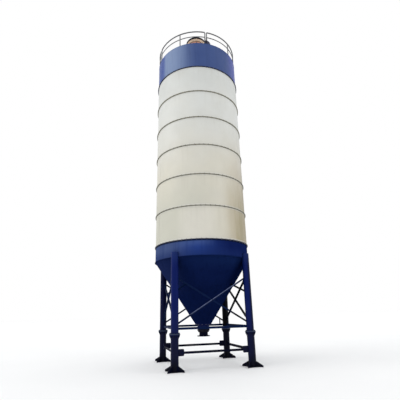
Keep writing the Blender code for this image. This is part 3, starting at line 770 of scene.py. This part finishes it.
def make_shell():
    """Skirt, six bands and the blue top, each with its seams, and the seven bolted flanges."""
    levels = [SKIRT_LOW] + JOINT_Z + [SHELL_TOP_Z]
    for index, node in enumerate(SECTIONS):
        low, high = levels[index:index + 2]
        ends = (SHELL_R - 0.001, low + FLANGE_BAR), (SHELL_R - 0.001, high - FLANGE_BAR)
        beads = seams(spread(2, -8 + 22 * (index % 2)), *ends, 0.0036)
        finish = {0: "skirt", BANDS + 1: "top"}.get(index, "white")
        Shape(shell_skin(low, high, 1.7 * index), beads).dress(node, "plates", finish)
    one = bolt(0.017, 2 * FLANGE_BAR + 2 * HALF_GASKET)
    outer = FLANGE_R - 0.0004
    gasket_r = FLANGE_R - 0.004
    for index, z in enumerate(JOINT_Z):
        low, high = z - HALF_GASKET, z + HALF_GASKET
        ring = Shape(
            turned(hoop(SHELL_R - PLATE, outer, low - FLANGE_BAR, low)),
            turned(hoop(SHELL_R - PLATE, outer, high, high + FLANGE_BAR)),
            weld_ring(SHELL_R + 0.001, low - FLANGE_BAR),
            weld_ring(SHELL_R + 0.001, high + FLANGE_BAR),
        )
        ring.add(turned([(SHELL_R, low), (gasket_r, low), (gasket_r, high), (SHELL_R, high)]), mark=1)
        finish = "dark_flange" if index in (0, BANDS) else "flange"
        ring.build("flange_joint_%d" % (index + 1), finish, "rubber", nodes=SECTIONS[index:index + 2])
        bolts = Shape()
        for k, degrees in enumerate(spread(BOLTS_ROUND, 180 / BOLTS_ROUND)):
            bolts.add(one, at(polar(BOLT_CIRCLE_R, degrees, z), math.degrees(7.3 * k)))
        bolts.build("flange_bolts_%d" % (index + 1), "bolt")


def cone_radius(z):
    """Outer radius of the hopper cone at a height."""
    return HOPPER_LOW_R + HOPPER_SLOPE * (z - HOPPER_LOW)


def make_hopper():
    """Cone with its narrow rim, four plate seams and the ring weld at the skirt."""
    rim_low = SKIRT_LOW - HOPPER_RIM_T
    rise = rim_low - HOPPER_LOW
    inner = SHELL_R - PLATE - 0.004
    levels = [HOPPER_LOW + rise * share for share in shares(18)]
    section = [(cone_radius(z) - 0.0005, z) for z in levels]
    section += hoop(inner, HOPPER_RIM_R, rim_low, SKIRT_LOW - CLEAR)[1:]
    section += [(inner, rim_low), (HOPPER_LOW_R - PLATE, HOPPER_LOW)]
    ends = [(cone_radius(z), z) for z in (HOPPER_LOW + 0.01, rim_low - 0.004)]
    middle = HOPPER_LOW + 0.52 * rise
    shape = Shape(turned(section), seams(spread(4, 12), *ends, 0.0042), weld_ring(cone_radius(middle), middle))
    shape.add(weld_ring(SHELL_R + 0.002, SKIRT_LOW + 0.001, 0.005)).dress("hopper_cone", "plates", "cone")


def make_outlet():
    """Spigot, black valve ring with its clamps, and the flanged neck."""
    e = SOFT_EDGE
    (_, _, low), (outer, _, high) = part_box("outlet_spigot")
    spigot = [(BORE_R, low)]
    spigot += near(SPIGOT_R, low, (-e, 0), (0, e), (0, 0.014), (-e, 0.0155), (-0.012, 0.016))
    spigot += near(SPIGOT_R, high, (-0.012, -0.02), (-0.006, -0.016))
    spigot += hoop(BORE_R, outer, high - 0.016, high)[1:]
    welds = weld_ring(SPIGOT_R - 0.011, low + 0.017), weld_ring(HOPPER_LOW_R + 0.002, high + 0.001, WIDE_WELD)
    Shape(turned(spigot, SMALL_ROUND), *welds).dress("outlet_spigot", "turned", "leg")
    bolts = bolt_ring(12, 0.232, high - 0.003, bolt(SMALL_BOLT, 0.026), math.degrees(0.1))
    (_, _, low), (outer, _, high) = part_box("outlet_valve_ring")
    valve = [(BORE_R, low)]
    valve += near(outer, low, (-0.03, 0), (-0.026, 0.006), (-0.03, 0.03), (-0.012, 0.036), (-0.004, 0.052))
    valve += near(outer, high, (-0.004, -0.016), (-0.01, -0.01), (-0.01, 0)) + [(BORE_R, high)]
    shape = Shape(turned(valve, SMALL_ROUND))
    lug = [(0.15, low + 0.012), (outer - 0.003, low + 0.026), (outer - 0.001, high - 0.01),
           (0.15, high - 0.004)]
    for degrees in spread(4, 30):
        shape.add(slab(lug, 0.055), fin_place(AXIS, degrees))
    shape.build("outlet_valve_body", "rubber", nodes=["outlet_valve_ring"], bevel=0.002)
    low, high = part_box("outlet_neck")[0].z, low - 0.0005
    root = low + NECK_FLANGE_T
    neck = [(BORE_R, low)] + near(outer, low, (-e, 0), (0, e), (0, 0.018), (-e, 0.0195))
    neck += [(NECK_R + 0.02, low + 0.02), (NECK_R + 0.004, root), (NECK_R, root + 0.01)]
    neck += near(NECK_R, high, (0, -0.012), (0.01, -0.01), (0.01, 0)) + [(BORE_R, high)]
    shape = Shape(turned(neck, SMALL_ROUND), weld_ring(NECK_R + 0.019, low + 0.021, 0.003))
    shape.dress("outlet_neck", "turned", "tie")
    bolts.build("outlet_bolts", "bolt")


# Legs and bracing


def leg_flange(low, high):
    """Joint flange of a leg's pipe."""
    return turned(hoop(LEG_R - 0.01, LEG_FLANGE_R, low, high), PIPE_ROUND)


def make_foot(corner, signs):
    """Lower length of a leg, with its plate, fins, welds, joint flange and tie plates."""
    centre = LEG_X * Vector((*signs, 0))
    top = LEG_JOINT_Z - 0.0003
    flange_low = top - LEG_FLANGE_T
    half = BASE_SIDE / 2
    inner = LEG_R - PLATE
    stand = at(centre)
    solid = Shape().add(block((-half, -half, 0), (half, half, BASE_T)), stand)
    pipe = Shape()
    foot_fin = [(inner, 0), (FOOT_FIN_REACH, 0), (FOOT_FIN_REACH, FOOT_FIN_TIP),
                (LEG_R + 0.012, FOOT_FIN_HEIGHT), (inner, FOOT_FIN_HEIGHT)]
    apart = FOOT_FIN_T / 2 + 0.001
    ends = (LEG_R, BASE_T + 0.002), (0.21, BASE_T + 0.002)
    rise = (LEG_R + 0.0005, BASE_T), (LEG_R + 0.0005, FOOT_FIN_HEIGHT - 0.002)
    for degrees in spread(4, 45):
        solid.add(slab(foot_fin, FOOT_FIN_T), fin_place(centre, degrees))
        pipe.add(plate_welds(centre, degrees, apart, *ends)).add(plate_welds(centre, degrees, apart, *rise))
    fin_low = flange_low - JOINT_FIN_HEIGHT
    joint_fin = [(inner, fin_low), (LEG_R + 0.005, fin_low), (JOINT_FIN_REACH, flange_low - JOINT_FIN_EDGE),
                 (JOINT_FIN_REACH, flange_low + 0.004), (inner, flange_low + 0.004)]
    for degrees in spread(8, 22.5):
        solid.add(slab(joint_fin, JOINT_FIN_T), fin_place(centre, degrees))
    low, high = TIE_PLATE_Z
    edge = TIE_PLATE_REACH - TIE_PLATE_CUT
    plate = [(inner, low), (edge, low), (TIE_PLATE_REACH, low + TIE_PLATE_CUT),
             (TIE_PLATE_REACH, high - TIE_PLATE_CUT), (edge, high), (inner, high)]
    apart = TIE_PLATE_T / 2 + 0.001
    for degrees in (180 if signs[0] > 0 else 0, -90 if signs[1] > 0 else 90):
        solid.add(slab(plate, TIE_PLATE_T), fin_place(centre, degrees))
        pipe.add(plate_welds(centre, degrees, apart, (LEG_R + 0.0003, low), (LEG_R + 0.0003, high), WELD))
    node = "leg_foot_" + corner
    solid.dress(node, "plates", "leg", bevel=0.0018)
    low, high = BASE_T - 0.004, flange_low + 0.004
    pipe.add(turned([(inner, low), (LEG_R, low), (LEG_R, high), (inner, high)], PIPE_ROUND), stand)
    pipe.add(leg_flange(flange_low, top), stand)
    pipe.add(weld_ring(LEG_R + 0.001, BASE_T + 0.001, 0.005, centre))
    pipe.add(weld_ring(LEG_R + 0.001, flange_low - 0.001, WIDE_WELD, centre))
    pipe.dress(node, "pipe", "leg")


def make_post(corner, signs):
    """Upper length of a leg, cut to fit round the hopper and skirt, with its cap and flange."""
    centre = LEG_X * Vector((*signs, 0))
    node = "leg_post_" + corner
    low = LEG_JOINT_Z
    flange_high = low + LEG_FLANGE_T
    stand = at(centre)
    flange = Shape().add(leg_flange(low, flange_high), stand)
    flange.add(weld_ring(LEG_R + 0.001, flange_high + 0.001, WIDE_WELD, centre))
    # Joint flange in the rubbed paint, which carries a painted sky reflection
    flange.dress(node, "flange", "rubbed")
    section = [(0, low + 0.002), (LEG_R, low + 0.002), (LEG_R, LEG_TOP_Z - 0.003), (LEG_R - 0.003, LEG_TOP_Z),
               (0, LEG_TOP_Z)]
    post = Shape().add(turned(section, PIPE_ROUND), stand)
    thing = post.dress(node, "pipe", "leg")
    rim_low = SKIRT_LOW - HOPPER_RIM_T - CLEAR
    rim_high = SKIRT_LOW + CLEAR
    above = LEG_TOP_Z + 0.1
    notch = [
        (0, HOPPER_LOW), (HOPPER_LOW_R + CLEAR, HOPPER_LOW), (cone_radius(rim_low + CLEAR) + CLEAR, rim_low),
        (HOPPER_RIM_R + CLEAR, rim_low), (HOPPER_RIM_R + CLEAR, rim_high), (SHELL_R + CLEAR, rim_high),
        (SHELL_R + CLEAR, above), (0, above),
    ]
    cut_away(thing, turned(notch))
    bolts = bolt_ring(8, POST_BOLT_CIRCLE_R, low, bolt(LARGE_BOLT, 2 * LEG_FLANGE_T), centre=centre)
    bolts.build("leg_joint_bolts_" + corner, "bar")


def angle_outline(size, thickness, lip_up):
    """Section of an equal angle with a root fillet and rounded toes, as (out, up) points."""
    half = size / 2
    toe = 0.45 * thickness
    root = 0.8 * thickness
    inner = half - thickness
    spots = ((0, -half), (thickness, -half), (thickness, inner), (size, inner), (size, half), (0, half))
    spots = [Vector(spot) for spot in spots]
    points = []
    for index, (here, radius) in enumerate(zip(spots, (0, toe, root, toe, 0, 0))):
        before = (spots[index - 1] - here).normalized() * radius
        after = (spots[(index + 1) % len(spots)] - here).normalized() * radius
        for step in range(4 if radius else 1):
            turn = step * math.pi / 6
            points.append(here + before + after - after * math.cos(turn) - before * math.sin(turn))
    return points if lip_up else [Vector((point.x, -point.y)) for point in reversed(points)]


def angle_bar(start, end, out, size, thickness, lip_up):
    """Angle bar between two points on its back, as in the solids."""
    start, end, out = Vector(start), Vector(end), Vector(out)
    up = out.cross(end - start).normalized()
    if up.z < 0:
        up = -up
    outline = angle_outline(size, thickness, lip_up)
    points = [spot + out * p.x + up * p.y for spot in (start, end) for p in outline]
    return points, skin(rings(points, len(outline)), caps=True)


def make_bracing():
    """Two crossed braces and two ties on each side of the leg square, with bolts and welds."""
    end = LEG_X - LEG_R + 0.02
    face = LEG_X - LEG_R - 0.0005
    reach = LEG_X - TIE_PLATE_REACH + TIE_PLATE_LAP
    tilt = math.sqrt(1 + BRACE_RISE ** 2) * BRACE_SIZE / 2
    grip = TIE_PLATE_T + TIE_T
    lie = Matrix.Rotation(-math.pi / 2, 4, "X")
    tie = ((0, 1, 0), TIE_SIZE, TIE_T, False)
    for side, degrees in SIDES.items():
        turn = Matrix.Rotation(math.radians(degrees), 4, "Z")
        for layer, out in (("outer", -1), ("inner", 1)):
            back = -LEG_X + out * 0.00015
            slope = -out * BRACE_RISE
            ends = [(x, back, BRACE_MIDDLE_Z + slope * x) for x in (-end, end)]
            brace = Shape().add(angle_bar(*ends, (0, out, 0), BRACE_SIZE, BRACE_T, True), turn)
            y = -LEG_X + out * BRACE_T
            for x in (-face, face):
                z = BRACE_MIDDLE_Z + slope * x
                brace.add(weld_line((x, y, z - tilt), (x, y, z + tilt)), turn)
            node = "brace_%s_%s" % (side, layer)
            # The front outer brace takes the paint with a painted highlight
            finish = "worn_bar" if node == "brace_front_outer" else "bar"
            brace.dress(node, "angle", finish, bevel=BAR_EDGE)
        back = -LEG_X - TIE_T / 2
        upper = Shape().add(angle_bar((-end, back, UPPER_TIE_Z), (end, back, UPPER_TIE_Z), *tie), turn)
        low, high = UPPER_TIE_Z - TIE_SIZE / 2, UPPER_TIE_Z + TIE_SIZE / 2
        for x in (-face, face):
            for y in (back - 0.0005, back + TIE_T + 0.0005):
                upper.add(weld_line((x, y, low), (x, y, high)), turn)
        upper.dress("tie_upper_" + side, "angle", "bar", bevel=BAR_EDGE)
        back = -LEG_X + TIE_PLATE_T / 2 + 0.0003
        lower = Shape().add(angle_bar((-reach, back, LOWER_TIE_Z), (reach, back, LOWER_TIE_Z), *tie), turn)
        lower.dress("tie_lower_" + side, "angle", "tie", bevel=BAR_EDGE)
        bolts = Shape()
        one = bolt(LARGE_BOLT, 2 * BRACE_T + 0.0003)
        bolts.add(one, turn @ Matrix.Translation((0, -LEG_X, BRACE_MIDDLE_Z)) @ lie)
        one = bolt(SMALL_BOLT, grip)
        y = -LEG_X - TIE_PLATE_T / 2 + grip / 2
        for x in (0.018 - reach, 0.05 - reach, reach - 0.018, reach - 0.05):
            bolts.add(one, turn @ Matrix.Translation((x, y, LOWER_TIE_Z + 0.008)) @ lie)
        bolts.build("brace_bolts_" + side, "bar")


def make_link_and_struts():
    """Short link at the back, and the struts from the legs to the cone."""
    link = Shape(block(*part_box("tie_link_back")))
    link.dress("tie_link_back", "bar", "bar", bevel=0.0012)
    axis_r = LEG_X * math.sqrt(2)
    start_z = STRUT_LEG_Z - STRUT_SLOPE * LEG_R
    run = (axis_r - cone_radius(start_z)) / (1 + HOPPER_SLOPE * STRUT_SLOPE) + 0.012
    for corner, signs in CORNERS.items():
        inward = Vector((-signs[0], -signs[1], 0)).normalized()
        aside = inward.cross(Vector((0, 0, 1)))
        ends = []
        for far in (LEG_R - 0.012, run):
            height = Vector((0, 0, start_z + STRUT_SLOPE * far))
            ends.append(inward * (far - axis_r) + height - aside * BRACE_T / 2)
        strut = Shape(angle_bar(*ends, aside, BRACE_SIZE, BRACE_T, True))
        strut.dress("hopper_strut_" + corner, "angle", "bar", bevel=BAR_EDGE)


# Roof, handrail and filter


def make_roof():
    """Roof plate with radial seams, an edge strip and a drip weld."""
    crown = CROWN_Z - 0.0004
    low = RIM_Z - ROOF_T
    section = [(0, crown - ROOF_T), (CROWN_R, crown - ROOF_T)]
    section += hoop(ROOF_MARGIN_R, SHELL_R, low, RIM_Z, TURNED_EDGE)[:-1]
    for share in shares(8):
        section.append((ROOF_MARGIN_R + (CROWN_R - ROOF_MARGIN_R) * share, RIM_Z + (crown - RIM_Z) * share))
    ends = (CROWN_R + 0.01, crown - 0.003), (ROOF_MARGIN_R, RIM_Z + 0.0005)
    Shape(
        turned(section + [(0, crown)]),
        seams(spread(12, 15), *ends),
        weld_ring(ROOF_MARGIN_R, RIM_Z + 0.0005),
        weld_ring(CROWN_R, crown - 0.0005),
        weld_ring(SHELL_R - 0.0008, low, FINE_WELD),
    ).dress("roof_plate", "welded", "top")


def arc(start, end, height):
    """Points along the handrail's arc."""
    count = round((end - start) / 1.5)
    return [polar(RAIL_R, start + (end - start) * share, height) for share in shares(count)]


def bend(first, corner, last):
    """Points of a rounded corner between two straight runs."""
    start = corner + (first - corner).normalized() * 0.045
    end = corner + (last - corner).normalized() * 0.045
    return [(1 - t) ** 2 * start + 2 * t * (1 - t) * corner + t ** 2 * end for t in shares(6)]


def make_handrail():
    """Five tube sections with bent ends, posts, foot plates and their bolts."""
    top = RAIL_TOP_Z - RAIL_TUBE_R
    foot = RIM_Z + 0.0003
    collar = near(RAIL_POST_R, foot, (-0.004, 0.006), (0.0045, 0.006), (0.001, 0.013), (-0.004, 0.013))
    plate = slab([(-0.034, -0.022), (0.018, -0.022), (0.018, 0.022), (-0.034, 0.022)], 0.006)
    screw = stack([(0.0085, 0), (0.0085, 0.006), (0.0075, 0.008)])
    for index, (low, high) in enumerate(zip(RAIL_JOINTS, RAIL_JOINTS[1:])):
        start, end = low + RAIL_GAP / 2, high - RAIL_GAP / 2
        curve = arc(start, end, top)
        first, last = polar(RAIL_R, start, foot), polar(RAIL_R, end, foot)
        path = [first, *bend(first, curve[0], curve[2]), *curve[2:-2], *bend(curve[-3], curve[-1], last), last]
        middle = arc(start, end, RAIL_MIDDLE_Z)
        shape = Shape(swept(path, RAIL_TUBE_R, 20), swept(middle, RAIL_MIDDLE_TUBE_R, 16))
        posts = [degrees for degrees in RAIL_POSTS if start < degrees < end]
        for degrees in posts:
            shape.add(swept([polar(RAIL_R, degrees, foot), polar(RAIL_R, degrees, top)], RAIL_POST_R, 20))
        for degrees in [start, end] + posts:
            shape.add(turned(collar, 20), at(polar(RAIL_R, degrees)))
            shape.add(plate, at(polar(RAIL_R, degrees, foot + 0.003), degrees))
            shape.add(screw, at(polar(RAIL_R - 0.0275, degrees, foot + 0.006)), mark=1)
        node = "handrail_section_%d" % (index + 1)
        shape.dress(node, "tubes", "zinc", "bolt", sharp=40)


def make_filter():
    """Filter body with its seams, band, clamps and foot flange, and the tapered lid."""
    e = TURNED_EDGE
    foot, top, band_low = CROWN_Z, BODY_TOP_Z, FILTER_BAND_LOW
    body = [(0, foot)] + hoop(FILTER_R + 0.006, FILTER_FOOT_R, foot, foot + 0.016, e)[1:]
    body.append((FILTER_R, foot + 0.022))
    for share in (0.25, 0.5, 0.75):
        z = foot + (band_low - foot) * share
        body += near(FILTER_R, z, (0, -0.012), (0.006, -0.006), (0.006, 0.006), (0, 0.012))
    body += [(FILTER_R, band_low + 0.002), (0, band_low + 0.002)]
    beads = seams(spread(2, 40), (FILTER_R + 0.0005, foot + 0.02), (FILTER_R + 0.0005, band_low), FINE_WELD)
    Shape(turned(body, FILTER_ROUND), beads).dress("filter_body", "drum", "salmon")
    shape = Shape()
    # Lower ring of the band in dark red-brown, partly a painted shadow under the lid
    for low, high, mark in ((band_low, top - 0.037, 1), (top - 0.036, top, 0)):
        shape.add(turned(hoop(FILTER_R - 0.01, FILTER_BAND_R, low, high, e), FILTER_ROUND), mark=mark)
    shape.build("filter_head_band", "brown", "salmon")
    bolt_ring(16, 0.37, foot + 0.0065, bolt(SMALL_BOLT, 0.019)).build("filter_foot_bolts", "bolt")
    low, high = LID_RIM_LOW, LID_RIM_HIGH
    # Underside of the lid in cream, partly a painted highlight
    taper = [(0, LID_LOW.z), (FILTER_BAND_R, LID_LOW.z)]
    taper += near(LID_R, low, (-0.012, 0.001), (-0.016, 0.01), (-LID_R, 0.01))
    Shape(turned(taper, FILTER_ROUND)).build("filter_lid_underside", "cream")
    rim = near(LID_R, low, (-0.012, 0.002), (-0.009, 0), (-0.003, 0), (0, 0.003), (0, 0.02), (-0.005, 0.026))
    rim += near(LID_R, high, (-0.005, -0.026), (0, -0.02), (0, -0.004), (-0.004, 0))
    rim += [(LID_R * 0.66, high + 0.017), (LID_R * 0.33, high + 0.027), (0, LID_HIGH.z), (0, high - 0.01),
            (LID_R - 0.014, high - 0.02), (LID_R - 0.014, low + 0.008)]
    Shape(turned(rim, FILTER_ROUND)).dress("filter_lid", "hood", "black")
    clamps = Shape()
    hinge = block((FILTER_R - 0.002, -0.016, band_low - 0.06), (FILTER_R + 0.01, 0.016, band_low - 0.004))
    hook = [(FILTER_R + 0.011, 0, band_low - 0.05), (FILTER_BAND_R + 0.006, 0, band_low + 0.012),
            (FILTER_BAND_R + 0.004, 0, top - 0.006)]
    for degrees in spread(6, 20):
        clamps.add(hinge, at(AXIS, degrees)).add(swept(hook, 0.005, 8), at(AXIS, degrees))
    clamps.build("filter_clamps", "bolt", bevel=0.0015)


def make_casing():
    """Domed fan casing at the filter's side, with a joint band, its screws and a foot bead."""
    low, high = [corner.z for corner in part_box("filter_fan_casing")]
    joint = low + 0.3
    skin_r = CASING_R - 0.006
    section = [(0, low)] + near(skin_r, low, (0, 0), (0.006, 0.003), (0.006, 0.018), (0, 0.021))
    section += near(skin_r, joint, (0, -0.016), (0.006, -0.013), (0.006, 0.013), (0, 0.016))
    for share in shares(14)[:-1]:
        angle = math.pi / 2 * share
        section.append((skin_r * math.cos(angle), high - CASING_DOME + CASING_DOME * math.sin(angle)))
    section.append((0, high))
    shape = Shape().add(turned(section, SMALL_ROUND), at((*CASING_CENTRE, 0)))
    casing = shape.dress("filter_fan_casing", "drum", "casing")
    above = high + 0.1
    for radius, start in ((FILTER_R, low - 0.1), (FILTER_BAND_R, FILTER_BAND_LOW), (LID_R, LID_LOW.z)):
        reach, start = radius + CASING_CLEAR, start - CASING_CLEAR
        step = [(0, start), (reach, start), (reach, above), (0, above)]
        cut_away(casing, turned(step, FILTER_ROUND))
    screws = Shape()
    head = stack([(0.0075, -0.002), (0.0075, 0.004), (0.006, 0.0055)])
    for degrees in spread(20):
        spot = polar(CASING_R - 0.0058, degrees, joint, CASING_CENTRE)
        if spot.xy.length > LID_R + 0.02:
            screws.add(head, at(spot, degrees) @ Matrix.Rotation(math.pi / 2, 4, "Y"))
    screws.build("filter_fan_casing_screws", "bolt")


# Stage, light and camera


def make_stage():
    """Plain pale floor."""
    n = Nodes("studio_floor", (0.95, 0.95, 0.95))
    tone = n.noise(0.35, 3)
    n.tint((0.965, 0.965, 0.965), n.span(tone, 0.3, 0.7))
    n.bump(n.noise(30), 0.001, 0.2)
    size = 120
    corners = [(-size, -size, 0), (size, -size, 0), (size, size, 0), (-size, size, 0)]
    mesh = bpy.data.meshes.new("floor")
    mesh.from_pydata(corners, [], [range(4)])
    mesh.materials.append(n.finish(n.span(tone, 0.2, 0.8, 0.75, 0.85)))
    floor = new_object("floor", mesh)
    floor.location.z = -0.002


def make_world():
    """White surroundings for the camera, and a softer pale sky that lights the silo."""
    world = bpy.data.worlds.new("studio")
    bpy.context.scene.world = world
    world.use_nodes = True
    tree = world.node_tree
    back = tree.nodes["Background"]
    fill(tree, back, {"Color": (0.97, 0.985, 1), "Strength": 0.92})
    seen = new_node(tree, "Background", {"Color": (1, 1, 1)})[0]
    camera_ray = new_node(tree, "LightPath", {})["Is Camera Ray"]
    mix = new_node(tree, "MixShader", {0: camera_ray, 1: back.outputs[0], 2: seen})[0]
    fill(tree, tree.nodes["World Output"], {"Surface": mix})


def add_sun(name, azimuth, height, energy, spread_degrees):
    """Soft sun, at an angle from the camera's line, anticlockwise from above."""
    light = bpy.data.lights.new(name, "SUN")
    light.energy = energy
    light.color = (1, 0.98, 0.95)
    light.angle = math.radians(spread_degrees)
    thing = new_object(name, light)
    thing.location = polar(10, azimuth - 90 - VIEW_TURN, height)
    aim = Vector((0, 0, 3)) - thing.location
    thing.rotation_euler = aim.to_track_quat("-Z", "Y").to_euler()


def make_camera():
    """Camera at the photograph's view."""
    forward = polar(math.cos(VIEW_PITCH), 90 - VIEW_YAW, math.sin(VIEW_PITCH))
    level = polar(1, -VIEW_YAW)
    right = math.cos(VIEW_ROLL) * level + math.sin(VIEW_ROLL) * level.cross(forward)
    pose = Matrix((right, right.cross(forward), -forward)).transposed().to_4x4()
    camera = bpy.data.cameras.new("camera")
    camera.sensor_width = SENSOR_MM
    camera.lens = VIEW_FOCAL_PX / PHOTO_PX * SENSOR_MM
    camera.clip_end = 500
    thing = new_object("camera", camera)
    stand = Matrix.Translation((0, -VIEW_DISTANCE, VIEW_HEIGHT))
    thing.matrix_world = at(AXIS, -VIEW_TURN) @ stand @ pose
    bpy.context.scene.camera = thing


def main():
    bpy.context.scene.view_settings.view_transform = "Standard"
    for make in (make_shell, make_hopper, make_outlet):
        make()
    for corner, signs in CORNERS.items():
        make_foot(corner, signs)
        make_post(corner, signs)
    for make in (make_bracing, make_link_and_struts, make_roof, make_handrail, make_filter, make_casing):
        make()
    make_stage()
    make_world()
    add_sun("key", -75, 9, 0.8, 50)
    add_sun("fill", 80, 6, 0.42, 70)
    make_camera()


main()
